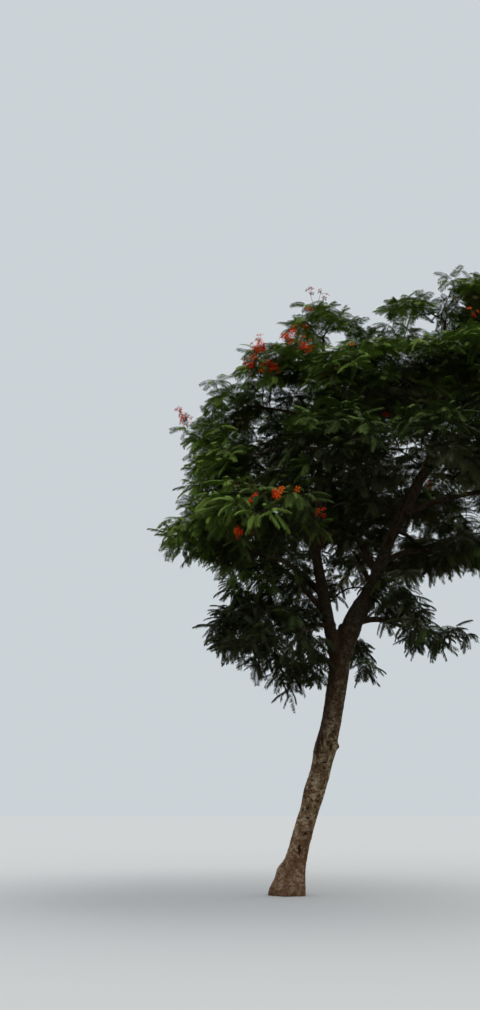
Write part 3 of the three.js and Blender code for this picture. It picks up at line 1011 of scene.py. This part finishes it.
def relief(place, depth):
    """Height of the bark's own shape at one place: slow swells, upright furrows and level rings"""
    x, y, z = place
    swell, furrow, ring = (Vector((x * across, y * across, z * along)) for across, along in RELIEF_WAVES)
    waves = SWELL_HEIGHT * noise.noise(swell) + noise.turbulence(furrow, FURROW_OCTAVES, False)
    return depth * (waves + RING_HEIGHT * noise.noise(ring))


def knot_height(places):
    """Bumps on the trunk where branches once were, with a scar in the middle of some"""
    height = np.zeros(len(places))
    for middle, width, rise, scar in KNOTS:
        away = np.linalg.norm((places - np.array(middle)) * KNOT_SQUASH, axis=1)
        height += rise * np.exp(-((away / width) ** 2)) - scar * np.exp(-((away / (KNOT_SCAR * width)) ** 2))
    return height


def trunk_rings():
    """Level rings of the trunk from below the ground to the fork, with lobes at the root flare"""
    line = smooth_line(TRUNK_LINE, TRUNK_STEPS)
    line = np.vstack([line[0] - BELOW_GROUND, line])
    rise = np.maximum(line[:, 2], 0.0)
    share = np.clip((rise / TRUNK_LINE[-1][2] - SWELL_FROM) / (1 - SWELL_FROM), 0.0, 1.0)
    swell = share * share * (3 - 2 * share)
    flare = np.exp(-rise / FLARE_HEIGHT)
    angle = np.arange(TRUNK_SIDES) * (2 * math.pi / TRUNK_SIDES)
    lobe = 1 + FLARE_LOBE_DEPTH * flare[:, None] * np.cos(FLARE_LOBES * (angle - math.pi))[None]
    stem = TRUNK_RADIUS + (FORK_RADIUS - TRUNK_RADIUS) * swell + (FLARE_RADIUS - TRUNK_RADIUS) * flare
    height, reach, slimmer = WAIST
    stem -= slimmer * np.exp(-(((rise - height) / reach) ** 2))
    cross = (np.tile((1.0, 0.0, 0.0), (len(line), 1)), np.tile((0.0, 1.0, 0.0), (len(line), 1)))
    return line, stem[:, None] * lobe, cross


def collar(line, root, tip, length, spread):
    """Radii along a limb, wider where it leaves its carrier, so that the two run into each other"""
    share = np.linspace(0.0, 1.0, len(line))
    along = share * line_length(line)
    return (root + (tip - root) * share) * (1 + spread * np.exp(-((along / length) ** 2)))


def reskin(piece):
    """Rebuilds the mesh of a piece as one smooth skin"""
    skin = piece.modifiers.new("skin", "REMESH")
    skin.mode = "VOXEL"
    skin.voxel_size = SKIN_VOXEL
    soften = piece.modifiers.new("soften", "SMOOTH")
    soften.factor = SKIN_SOFTNESS
    soften.iterations = SKIN_PASSES
    mesh = bpy.data.meshes.new_from_object(piece.evaluated_get(bpy.context.evaluated_depsgraph_get()))
    piece.modifiers.clear()
    old = piece.data
    piece.data = mesh
    bpy.data.meshes.remove(old)


def cut_flat(mesh):
    """Cuts a mesh off level at the ground and closes the cut"""
    work = bmesh.new()
    work.from_mesh(mesh)
    everything = work.verts[:] + work.edges[:] + work.faces[:]
    bmesh.ops.bisect_plane(work, geom=everything, plane_co=(0, 0, 0), plane_no=(0, 0, -1), clear_outer=True)
    bmesh.ops.contextual_create(work, geom=[edge for edge in work.edges if edge.is_boundary])
    work.to_mesh(mesh)
    work.free()


def carve(mesh, depth, with_knots=False):
    """Moves a mesh's points out and in by the bark's relief"""
    places, normals = np.zeros((2, 3 * len(mesh.vertices)))
    mesh.vertices.foreach_get("co", places)
    mesh.vertex_normals.foreach_get("vector", normals)
    places = places.reshape(-1, 3)
    normals = normals.reshape(-1, 3)
    height = np.array([relief(place, depth) for place in places])
    if with_knots:
        height += knot_height(places)
    normals[places[:, 2] < CUT_HEIGHT, 2] = 0.0
    places += normals * height[:, None]
    mesh.vertices.foreach_set("co", places.ravel())
    mesh.update()


class FLAMETREE_OT_trunk(bpy.types.Operator):
    """Add the trunk and the two boughs of the fork as one skin of bark"""

    bl_idname = "flametree.trunk"
    bl_label = "Trunk and fork"

    def execute(self, context):
        sizes, colours = settings()
        build = MeshBuilder()
        line, radii, cross = trunk_rings()
        build.tube(line, radii, TRUNK_SIDES, cross=cross)
        for name, (length, spread) in BOUGH_COLLARS.items():
            line, root, tip = limbs()[name]
            build.tube(line, collar(line, root, tip, length, spread), BOUGH_SIDES)
        web = smooth_line(FORK_WEB, WEB_STEPS)
        build.tube(web, np.linspace(*FORK_WEB_RADII, len(web)), WEB_SIDES)
        piece = build.piece("trunk_and_fork", [], True)
        reskin(piece)
        mesh = piece.data
        mesh.materials.append(
            bark_material("trunk_bark", colours.bark_main, colours.bark_pale, TRUNK_BARK, trunk_marks)
        )
        cut_flat(mesh)
        carve(mesh, sizes.bark_relief, with_knots=True)
        mesh.polygons.foreach_set("use_smooth", [True] * len(mesh.polygons))
        join_tree(piece, ("trunk", "bough_left", "bough_right"))
        return {"FINISHED"}


class FLAMETREE_OT_limbs(bpy.types.Operator):
    """Add the leaders and the side branches, each with bark and a collar at its root"""

    bl_idname = "flametree.limbs"
    bl_label = "Limbs"

    def execute(self, context):
        sizes, colours = settings()
        build = MeshBuilder()
        rest = [name for name in limbs() if name not in BOUGH_COLLARS]
        length, spread = LIMB_COLLAR
        for name in rest:
            line, root, tip = limbs()[name]
            line = resampled(line, max(LEAST_LIMB_STEPS, round(line_length(line) / LIMB_SPACING)))
            build.tube(line, collar(line, root, tip, length * root, spread), LIMB_SIDES)
        shoot = smooth_line(ARCH_SHOOT, SHOOT_STEPS)
        build.tube(shoot, np.linspace(*ARCH_RADII, len(shoot)), SHOOT_SIDES)
        # The limbs' bark is the bough colour, darker with painted shade under the crown
        material = bark_material("shaded_bough_bark", colours.bark_bough_shaded, colours.bark_main, LIMB_BARK)
        piece = build.piece("limbs", [material], True)
        carve(piece.data, LIMB_RELIEF * sizes.bark_relief)
        join_tree(piece, rest)
        return {"FINISHED"}


class FLAMETREE_OT_twigs(bpy.types.Operator):
    """Add the twigs that the branching rule grows from the limbs"""

    bl_idname = "flametree.twigs"
    bl_label = "Twigs"

    def execute(self, context):
        sizes, colours = settings()
        grown = crown()
        places, parents, load, roots = (grown[key] for key in ("places", "parents", "load", "roots"))
        radii = sizes.twig_radius * np.maximum(load, 1.0) ** (1 / TWIG_POWER)
        heir = np.full(len(places), -1)
        for i in range(roots, len(places)):
            parent = parents[i]
            if load[i] > 0 and (heir[parent] < 0 or load[i] > load[heir[parent]]):
                heir[parent] = i
        build = MeshBuilder()
        for i in range(roots, len(places)):
            parent = parents[i]
            if load[i] == 0 or (heir[parent] == i and parent >= roots):
                continue
            chain = [parent, i]
            while heir[chain[-1]] >= 0:
                chain.append(heir[chain[-1]])
            thick = radii[chain]
            thick[0] = min(thick[0], TWIG_START * thick[1])
            thick[-1] = TWIG_END * thick[-1]
            build.tube(places[chain], thick, TWIG_SIDES[int(thick[1] > THICK_TWIG)])
        piece = build.piece("twigs", [plain_material("twig_bark", colours.bark_twig, *TWIG_FINISH)], True)
        join_tree(piece)
        return {"FINISHED"}


# Leaves

# How far down a leaf bends, in each of its shapes
LEAF_BENDS = np.radians((8, 20, 32, 44, 56, 70))
# Side feathers: their length as a share, their lean from the rib at its foot and tip and their fold, both in
# degrees, and how many degrees these may differ
OPEN_LEAF = (1.2, 72, 44, 16)
FOLDED_LEAF = (0.95, 52, 28, 42)
FEATHER_TURN = 8
# The rib: its points, how its bend grows, its greatest bend sideways, and the points and widths of its strip
RIB_STEPS = 33
RIB_BEND = 1.2
RIB_SIDE_BEND = 0.3
RIB_STRIPS = ((0, 32), (0, 10, 21, 32))
RIB_WIDTH = 0.008
RIB_TAPER = (0.7, 0.25)
# Side feathers start after the bare stalk, each pair this far into its share of the rib
PETIOLE = 0.12
PAIR_START = 0.6
# The leaf's outline is a piece of a sine: where it starts, how much of it there is, and its power
OUTLINE = (0.25, 0.62, 0.7)
PINNA_VARIES = (0.86, 1.1)
# A side feather's width, where it is widest, how much wider a simple one is, and how far its tip hangs down
PINNA_WIDTH = 0.031
PINNA_WIDEST = 0.32
SIMPLE_WIDTH = 1.1
PINNA_DROOP = 0.16
# Sprays turn from hanging to upright between these heights; shares of the ways that make a spray's axis
LOW_SPRAYS = (5.2, 8.2)
TWIG_WAY = 0.5
OUTWARD_WAY = 0.4
UPRIGHT_WAY = 0.75
HANGING_WAY = 0.2
# Leaves of a spray: how many fewer it may have, their angle from its axis, how much their angles and roll
# vary, their scales, and how far along the twig's way they start
FEWER_LEAVES = 4
LEAF_AWAY = math.radians(66)
LEAF_AWAY_VARIES = math.radians(15)
LEAF_YAW_VARIES = 0.22
LEAF_ROLL_VARIES = 0.3
LEAF_SCALES = (0.66, 1.06)
LEAF_SHIFTS = (-0.12, 0.03)
# Rise of a leaf where it starts and ends, the angles it may still bend, and the share of them that it does
LOWEST_START = math.radians(-50)
HIGHEST_START = math.radians(18)
LOWEST_END = math.radians(-82)
BEND_ROOM = (0.1, 1.3)
BEND_SHARES = (0.3, 1.0)
# Share of folded leaves low in the crown, and how many fewer at its top
FOLDED_SHARE = 0.75
FOLDED_LOSS = 0.55
# Sprays with more neighbours outward than this have simple leaves
BURIED = 12
# Leaves stay above this height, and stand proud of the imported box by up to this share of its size
LOWEST_LEAF = 0.3
PROUD_SHARE = 0.022
# Pixels round a seen cluster that no nearer leaf may cover
CLEAR_PIXELS = 9
# Light of a spray at which its colour steps up, and how much the light varies
LIGHT_STEPS = (-24.0, -14.0, -7.0, -2.0)
LIGHT_VARIES = 0.35
# Sprays below this height never get painted light, and these shares of them left and right of a line get
# painted shade
SHADED_BELOW = 5.9
SHADE_LINE = 1.0
LOW_DARK_SHARES = (0.9, 0.6)
# Share of the higher sprays that are dull, and how near to a spray with blossom the others get painted light
DULL_SHARE = 0.03
BESIDE_BLOSSOM = 0.4
# A way that no spray's axis has
ODD_WAY = (0.31, 0.95, 0.05)


def leaf_shape(rng, bend_down, habit, whole):
    """A feathery leaf that sets out along +X and bends down by an angle; inside ones have simpler feathers"""
    length, foot_lean, tip_lean, fold = habit
    sizes, _ = settings()
    pairs = sizes.pinna_pairs
    share = np.linspace(0.0, 1.0, RIB_STEPS)
    pitch = -bend_down * share**RIB_BEND
    bend = rng.uniform(-RIB_SIDE_BEND, RIB_SIDE_BEND) * share
    ways = np.stack([np.cos(pitch) * np.cos(bend), np.cos(pitch) * np.sin(bend), np.sin(pitch)], -1)
    line = np.vstack([np.zeros(3), np.cumsum(ways[:-1] * sizes.leaf_length / (len(share) - 1), axis=0)])
    build = MeshBuilder()
    at = np.array(RIB_STRIPS[whole])
    across = unit(np.cross(UP, ways))
    edge = across[at] * RIB_WIDTH * np.linspace(*RIB_TAPER, len(at))[:, None]
    build.add(np.stack([line[at] - edge, line[at] + edge], axis=1), strip_faces(len(at)))
    fold = math.radians(fold + rng.uniform(-FEATHER_TURN, FEATHER_TURN))
    start, span, power = OUTLINE
    for k in range(pairs):
        along = PETIOLE + (1 - PETIOLE) * (k + PAIR_START) / pairs
        place = np.stack([np.interp(along, share, line[:, axis]) for axis in range(3)])
        way = unit(np.stack([np.interp(along, share, ways[:, axis]) for axis in range(3)]))
        side = unit(np.cross(UP, way))
        up = np.cross(way, side)
        for hand in (-1, 1):
            swell = math.sin(math.pi * (start + span * (k + 0.5) / pairs)) ** power
            reach = length * sizes.pinna_length * swell * rng.uniform(*PINNA_VARIES)
            lean = foot_lean + (tip_lean - foot_lean) * k / pairs
            lean = math.radians(lean + rng.uniform(-FEATHER_TURN, FEATHER_TURN))
            out = math.cos(fold) * side * hand - math.sin(fold) * up
            arm = math.cos(lean) * way + math.sin(lean) * out
            blade = unit(np.cross(arm, np.cross(way, out))) * PINNA_WIDTH / 2
            tip = place + reach * arm - PINNA_DROOP * reach * UP
            if whole:
                middle = place + PINNA_WIDEST * reach * arm
                build.add([place, middle - blade, tip, middle + blade], [[0, 1, 2, 3]])
            else:
                build.add([place - SIMPLE_WIDTH * blade, tip, place + SIMPLE_WIDTH * blade], [[0, 1, 2]])
    return build


def round_axis(axes, yaw, away):
    """Directions round each axis, by an angle round it and an angle away from it"""
    side = unit(np.cross(axes, ODD_WAY))
    other = np.cross(axes, side)
    out = np.cos(yaw)[:, None] * side + np.sin(yaw)[:, None] * other
    return np.cos(away)[:, None] * axes + np.sin(away)[:, None] * out


def upright_turn(heading, rise, roll):
    """Turns that point a leaf's +X along a heading and a rise above level, with its +Z up but for a roll"""
    ch, sh, cr, sr = np.cos(heading), np.sin(heading), np.cos(rise), np.sin(rise)
    ahead = np.stack([ch * cr, sh * cr, sr], -1)
    across = np.stack([-sh, ch, np.zeros_like(ch)], -1)
    up = np.cross(ahead, across)
    c, s = np.cos(roll)[:, None], np.sin(roll)[:, None]
    return np.stack([ahead, c * across + s * up, c * up - s * across], -1)


def spray_shade(grown, blooming, rng):
    """Index of each spray's leaf colour: painted shade where others stand in its light, painted light beside
    blossom
    """
    places = grown["sprays"]
    count = len(places)
    levels = np.digitize(-grown["shaded"] * rng.lognormal(0, LIGHT_VARIES, count), LIGHT_STEPS)
    low = places[:, 2] < SHADED_BELOW
    levels[low] = np.minimum(levels[low], MAIN)
    dark_share = np.where(places[:, 0] < SHADE_LINE, *LOW_DARK_SHARES)
    levels[low & (rng.random(count) < dark_share)] = DARK
    levels[~low & (rng.random(count) < DULL_SHARE)] = DULL
    pixels, _ = camera_view(places)
    names, middles, _ = masses()
    heights = dict(zip(names, middles[:, 2]))
    upper = places[:, 2] > [heights[name] for name in grown["homes"]]
    for spot in SHADY_SPOTS:
        shady = in_spot(pixels, spot)
        most = np.where(upper[shady], LIT_LEVEL, rng.integers(DARK, LIT_LEVEL, shady.sum()))
        levels[shady] = np.minimum(levels[shady], most)
    bright = draws(SUN_DRAW).integers(MAIN, DULL, count)
    for spot in SUNNY_SPOTS:
        sunny = in_spot(pixels, spot)
        levels[sunny] = np.maximum(levels[sunny], bright[sunny])
    for flower in places[blooming]:
        beside = np.linalg.norm(places - flower, axis=1) < BESIDE_BLOSSOM
        levels[beside] = np.maximum(levels[beside], rng.integers(MAIN, DULL, beside.sum()))
    return levels


def dealt_leaves(grown, rng):
    """Deals leaves out round the ends of the twigs: the spray, shape, turn, scale and foot of each leaf"""
    most = settings()[0].leaves_per_spray
    places, ways = grown["sprays"], grown["spray_ways"]
    lift = np.clip((places[:, 2] - LOW_SPRAYS[0]) / (LOW_SPRAYS[1] - LOW_SPRAYS[0]), 0, 1)
    axes = TWIG_WAY * ways + OUTWARD_WAY * unit(places - CROWN_MIDDLE)
    axes[:, 2] += UPRIGHT_WAY * lift - HANGING_WAY
    counts = rng.integers(most - FEWER_LEAVES, most + 1, len(places))
    owner = np.repeat(np.arange(len(places)), counts)
    count = len(owner)
    turn = np.concatenate([np.arange(n) / n for n in counts]) * 2 * math.pi
    yaw = turn + np.repeat(rng.uniform(0, 2 * math.pi, len(places)), counts)
    yaw = yaw + rng.normal(0, LEAF_YAW_VARIES, count)
    heading = round_axis(unit(axes)[owner], yaw, rng.normal(LEAF_AWAY, LEAF_AWAY_VARIES, count))
    rise = np.clip(np.arcsin(np.clip(heading[:, 2], -1, 1)), LOWEST_START, HIGHEST_START)
    roll = rng.normal(0.0, LEAF_ROLL_VARIES, count)
    turns = upright_turn(np.arctan2(heading[:, 1], heading[:, 0]), rise, roll)
    scale = rng.uniform(*LEAF_SCALES, count)
    feet = places[owner] + ways[owner] * rng.uniform(*LEAF_SHIFTS, count)[:, None]
    room = np.clip(rise - LOWEST_END, *BEND_ROOM) * rng.uniform(*BEND_SHARES, count)
    shape = np.abs(room[:, None] - LEAF_BENDS).argmin(axis=1)
    folded = rng.random(count) < FOLDED_SHARE - FOLDED_LOSS * lift[owner]
    shape += len(LEAF_BENDS) * np.where(grown["buried"][owner] > BURIED, 2, folded)
    return owner, shape, turns, scale, feet


def inside_allowed(blocks):
    """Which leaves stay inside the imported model's box, give or take what foliage may stand proud"""
    spare = PROUD_SHARE * (BOX_HIGH - BOX_LOW)
    fits = (blocks > BOX_LOW - spare) & (blocks < BOX_HIGH + spare)
    return fits.all(axis=(1, 2)) & (blocks[:, :, 2] > LOWEST_LEAF).all(axis=1)


def before_blossom(blocks):
    """Which leaves would hide a cluster of blossom that the photograph shows"""
    seen, blossom_depth = camera_view(blossom_places())
    pixels, depth = camera_view(blocks.mean(axis=1))
    near = np.linalg.norm(pixels[:, None] - seen, axis=2) < CLEAR_PIXELS
    return (near & (depth[:, None] < blossom_depth)).any(axis=1)


class FLAMETREE_OT_foliage(bpy.types.Operator):
    """Add the feathery leaves in sprays at the ends of the twigs, joined by region of the crown"""

    bl_idname = "flametree.foliage"
    bl_label = "Foliage"

    def execute(self, context):
        colours = settings()[1]
        rng = draws(LEAF_DRAW)
        grown = crown()
        kinds = ((OPEN_LEAF, True), (FOLDED_LEAF, True), (OPEN_LEAF, False))
        shapes = [leaf_shape(rng, bend, habit, whole) for habit, whole in kinds for bend in LEAF_BENDS]
        levels = spray_shade(grown, blossom_ends()[0], rng)
        owner, kind, turns, scale, feet = dealt_leaves(grown, rng)
        materials = [plain_material(name, getattr(colours, name), *LEAF_FINISH) for name in LEAF_COLOURS]
        for name, region in REGIONS.items():
            build = MeshBuilder()
            here = np.isin(grown["homes"][owner], region)
            for k, shape in enumerate(shapes):
                chosen = np.flatnonzero(here & (kind == k))
                points = np.concatenate(shape.places)
                blocks = np.einsum("nij,vj->nvi", turns[chosen], points) * scale[chosen, None, None]
                blocks += feet[chosen][:, None]
                fits = inside_allowed(blocks) & ~before_blossom(blocks)
                build.copies(shape, blocks[fits], levels[owner[chosen[fits]]])
            piece = build.piece(name, materials, False)
            join_tree(piece, ["leaves_" + short for short in region])
        return {"FINISHED"}


# Blossom

FLOWERS_PER_CLUSTER = 9
# Slots of the blossom's materials
PETAL, ORANGE, BUD = 0, 1, 2
# Rows of a petal in half widths of the flower: how far out, how wide and how high
PETALS = 5
PETAL_ROWS = ((0.08, 0.04, 0.0), (0.45, 0.14, 0.16), (0.8, 0.3, 0.12), (1.0, 0.16, -0.06))
# Stamens: how far the first is turned, and width, reach and rise in half widths of the flower
STAMENS = 4
STAMEN_TURN = 0.4
STAMEN_WIDTH = 0.02
STAMEN_REACH = 0.35
STAMEN_RISE = 0.75
# Seen clusters: how far apart those at one place lie, their shift from it, and their least room in the box
CLUSTER_APART = 0.1
CLUSTER_SHIFT = np.array([0.01, 0.03, -0.06])
CLUSTER_MARGIN = 0.15
# Clusters on the sides that the photograph doesn't show: their number, how far back those sides start, how
# the height that counts falls off beside the middle, the share of sprays too low for them, and their stand
HIDDEN_CLUSTERS = 34
BACK_FROM = 1.6
HEIGHT_FALL = 0.35
TOO_LOW_SHARE = 0.45
HIDDEN_AHEAD = 0.15
HIDDEN_RISE = 0.12
# Stalks of a cluster and of a flower: radii at foot and tip, sides, and how far the first runs on
CLUSTER_STALK = (0.006, 0.004)
FLOWER_STALK = (0.004, 0.003)
CLUSTER_STALK_SIDES = 4
FLOWER_STALK_SIDES = 3
STALK_END = 0.04
# Flowers of a cluster: how they look up and outward, their distance from its middle, and how they vary
CLUSTER_UPWARD = 0.25
FLOWER_OUTWARD = 0.9
FLOWER_TILT = 0.7
FLOWER_DISTANCES = (0.05, 0.16)
FLOWER_SCALES = (0.8, 1.12)
FULL_TURN = 6.28
ORANGE_SHARE = 0.25


def compass(angle):
    """The level way at an angle, and the level way square to it"""
    out = np.array([math.cos(angle), math.sin(angle), 0.0])
    return out, np.cross(UP, out)


def flower_shape(width):
    """One open flower that looks along +Z: five spoon petals, one of them orange, and a brush of stamens"""
    build = MeshBuilder()
    half = width / 2
    for k in range(PETALS):
        out, side = compass(k * 2 * math.pi / PETALS)
        places = [
            out * half * reach + side * half * wide * hand + half * rise * UP
            for reach, wide, rise in PETAL_ROWS
            for hand in (-1, 1)
        ]
        build.add(places, strip_faces(len(PETAL_ROWS)), ORANGE if k == 0 else PETAL)
    for k in range(STAMENS):
        out, side = compass((k + STAMEN_TURN) * 2 * math.pi / STAMENS)
        side = side * STAMEN_WIDTH * half
        tip = out * STAMEN_REACH * half + STAMEN_RISE * half * UP
        build.add([-side, side, tip + side, tip - side], [[0, 1, 2, 3]], PETAL)
    return build


@functools.cache
def blossom_ends():
    """Ends of twigs that carry blossom, the middle of the cluster on each, and its number of flowers"""
    rng = draws(CLUSTER_DRAW)
    places = crown()["sprays"]
    chosen = []
    middles = []
    numbers = []
    for place, (_, _, flowers) in zip(blossom_places(), BLOSSOM_SEEN):
        end = np.linalg.norm(places - (place - BLOSSOM_STAND), axis=1).argmin()
        clusters = round(flowers / FLOWERS_PER_CLUSTER + 0.5)
        for _ in range(clusters):
            chosen.append(end)
            middles.append(place + rng.normal(0, CLUSTER_APART, 3) * (clusters > 1) + CLUSTER_SHIFT)
            numbers.append(round(flowers / clusters))
    pixels, _ = camera_view(places)
    height = places[:, 2] - HEIGHT_FALL * np.abs(places[:, 0] - CROWN_MIDDLE[0])
    unseen = (pixels[:, 0] > PICTURE[0]) | (places[:, 1] > BACK_FROM)
    free = np.flatnonzero(unseen & (height > np.quantile(height, TOO_LOW_SHARE)))
    hidden = rng.choice(free, HIDDEN_CLUSTERS, replace=False)
    outward = unit(places[hidden] - CROWN_MIDDLE)
    middles = np.vstack([middles, places[hidden] + HIDDEN_AHEAD * outward + HIDDEN_RISE * UP])
    middles = np.clip(middles, BOX_LOW + CLUSTER_MARGIN, BOX_HIGH - CLUSTER_MARGIN)
    numbers += [FLOWERS_PER_CLUSTER] * len(hidden)
    return np.concatenate([chosen, hidden]), middles, numbers


class FLAMETREE_OT_blossom(bpy.types.Operator):
    """Add the clusters of orange-red flowers and their stalks"""

    bl_idname = "flametree.blossom"
    bl_label = "Blossom"

    def execute(self, context):
        sizes, colours = settings()
        rng = draws(FLOWER_DRAW)
        sprays = crown()["sprays"]
        flower = flower_shape(sizes.flower_width)
        points = np.concatenate(flower.places)
        build = MeshBuilder()
        for end, middle, flowers in zip(*blossom_ends()):
            way = unit(unit(middle - CROWN_MIDDLE) + CLUSTER_UPWARD * UP)
            stalk = np.array([sprays[end], middle + STALK_END * way])
            build.tube(stalk, CLUSTER_STALK, CLUSTER_STALK_SIDES, BUD)
            for _ in range(flowers):
                out = unit(rng.normal(size=3) + FLOWER_OUTWARD * way)
                place = middle + out * rng.uniform(*FLOWER_DISTANCES)
                build.tube(np.array([middle, place]), FLOWER_STALK, FLOWER_STALK_SIDES, BUD)
                turn = Vector(UP).rotation_difference(Vector(unit(FLOWER_TILT * out + way))).to_matrix()
                spun = np.array(turn @ Matrix.Rotation(rng.uniform(0, FULL_TURN), 3, "Z"))
                spun = spun * rng.uniform(*FLOWER_SCALES)
                build.stamp(flower, points @ spun.T + place, ORANGE if rng.random() < ORANGE_SHARE else None)
        materials = [
            plain_material("petal", colours.petal, *LEAF_FINISH),
            plain_material("petal_orange", colours.petal_orange, *LEAF_FINISH),
            plain_material("bud", colours.bud, *BUD_FINISH),
        ]
        join_tree(build.piece("blossom", materials, False))
        return {"FINISHED"}


# Stage

FLOOR_HALF = 300.0
VIEW_END = 1000
KEY_STRENGTH = 1.3
KEY_SOFTNESS = math.radians(45)
KEY_COLOUR = (1.0, 0.97, 0.9)
KEY_WAY = (-0.5, -0.1, -0.86)
# Sky light below and above, the rises between which it changes, its strength, and the plain backdrop
SKY_LOW = (0.15, 0.15, 0.115, 1)
SKY_HIGH = (0.97, 1.0, 1.03, 1)
SKY_RISES = (-0.4, 0.65)
SKY_STRENGTH = 0.87
BACKDROP = (0.6, 0.65, 0.68, 1)


class FLAMETREE_OT_stage(bpy.types.Operator):
    """Add the camera, the pale floor, the soft key light and the even sky"""

    bl_idname = "flametree.stage"
    bl_label = "Stage"

    def execute(self, context):
        scene = context.scene
        scene.view_settings.view_transform = "Standard"
        camera = linked("camera", bpy.data.cameras.new("camera"))
        camera.location = CAMERA_PLACE
        camera.rotation_euler = (math.radians(90 + CAMERA_TILT), 0, 0)
        camera.data.sensor_width = SENSOR
        camera.data.lens = CAMERA_FOCAL_PIXELS * SENSOR / PICTURE[1]
        camera.data.clip_end = VIEW_END
        scene.camera = camera

        corners = [(FLOOR_HALF * x, FLOOR_HALF * y, 0) for x, y in ((-1, -1), (1, -1), (1, 1), (-1, 1))]
        mesh = bpy.data.meshes.new("floor")
        mesh.from_pydata(corners, [], [(0, 1, 2, 3)])
        mesh.materials.append(plain_material("studio_floor", settings()[1].floor, *FLOOR_FINISH))
        floor = linked("floor", mesh)
        floor.visible_diffuse = False

        key = linked("key_light", bpy.data.lights.new("key_light", "SUN"))
        key.data.energy = KEY_STRENGTH
        key.data.angle = KEY_SOFTNESS
        key.data.color = KEY_COLOUR
        key.rotation_euler = Vector(KEY_WAY).to_track_quat("-Z", "Y").to_euler()

        world = bpy.data.worlds.new("studio_sky")
        world.use_nodes = True
        world.node_tree.nodes.clear()
        scene.world = world
        wiring = Wiring(world.node_tree)
        way = wiring.node("ShaderNodeTexCoord").outputs["Generated"]
        rise = wiring.node("ShaderNodeSeparateXYZ", ((0, way),)).outputs["Z"]
        glow = wiring.mix(wiring.ramp(rise, *SKY_RISES), SKY_LOW, SKY_HIGH)
        lighting = wiring.node("ShaderNodeBackground", (("Color", glow), ("Strength", SKY_STRENGTH)))
        backdrop = wiring.node("ShaderNodeBackground", (("Color", BACKDROP), ("Strength", 1.0)))
        seen = wiring.node("ShaderNodeLightPath").outputs["Is Camera Ray"]
        choices = ((0, seen), (1, lighting.outputs[0]), (2, backdrop.outputs[0]))
        both = wiring.node("ShaderNodeMixShader", choices)
        wiring.node("ShaderNodeOutputWorld", (("Surface", both.outputs[0]),))
        return {"FINISHED"}


class FLAMETREE_PT_panel(bpy.types.Panel):
    """Lists the pieces of the tree with their sizes and colours"""

    bl_label = "Flame Tree"
    bl_idname = "FLAMETREE_PT_panel"
    bl_space_type = "VIEW_3D"
    bl_region_type = "UI"
    bl_category = "Flame Tree"

    def draw(self, context):
        layout = self.layout
        for group in (context.scene.flame_tree_sizes, context.scene.flame_tree_colours):
            box = layout.box()
            for name in group.__annotations__:
                box.prop(group, name)
        for operator in PIECES:
            layout.operator(operator.bl_idname)


PIECES = (
    FLAMETREE_OT_stage,
    FLAMETREE_OT_trunk,
    FLAMETREE_OT_limbs,
    FLAMETREE_OT_twigs,
    FLAMETREE_OT_foliage,
    FLAMETREE_OT_blossom,
)
CLASSES = (FlameTreeSizes, FlameTreeColours, *PIECES, FLAMETREE_PT_panel)


def register():
    """Adds the classes and the settings to Blender"""
    for kind in CLASSES:
        bpy.utils.register_class(kind)
    bpy.types.Scene.flame_tree_sizes = PointerProperty(type=FlameTreeSizes)
    bpy.types.Scene.flame_tree_colours = PointerProperty(type=FlameTreeColours)


def unregister():
    """Takes the classes and the settings out of Blender"""
    del bpy.types.Scene.flame_tree_colours
    del bpy.types.Scene.flame_tree_sizes
    for kind in reversed(CLASSES):
        bpy.utils.unregister_class(kind)


def main():
    """Makes every piece in order"""
    register()
    bpy.ops.flametree.stage()
    bpy.ops.flametree.trunk()
    bpy.ops.flametree.limbs()
    bpy.ops.flametree.twigs()
    bpy.ops.flametree.foliage()
    bpy.ops.flametree.blossom()
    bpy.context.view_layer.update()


if __name__ == "__main__":
    main()
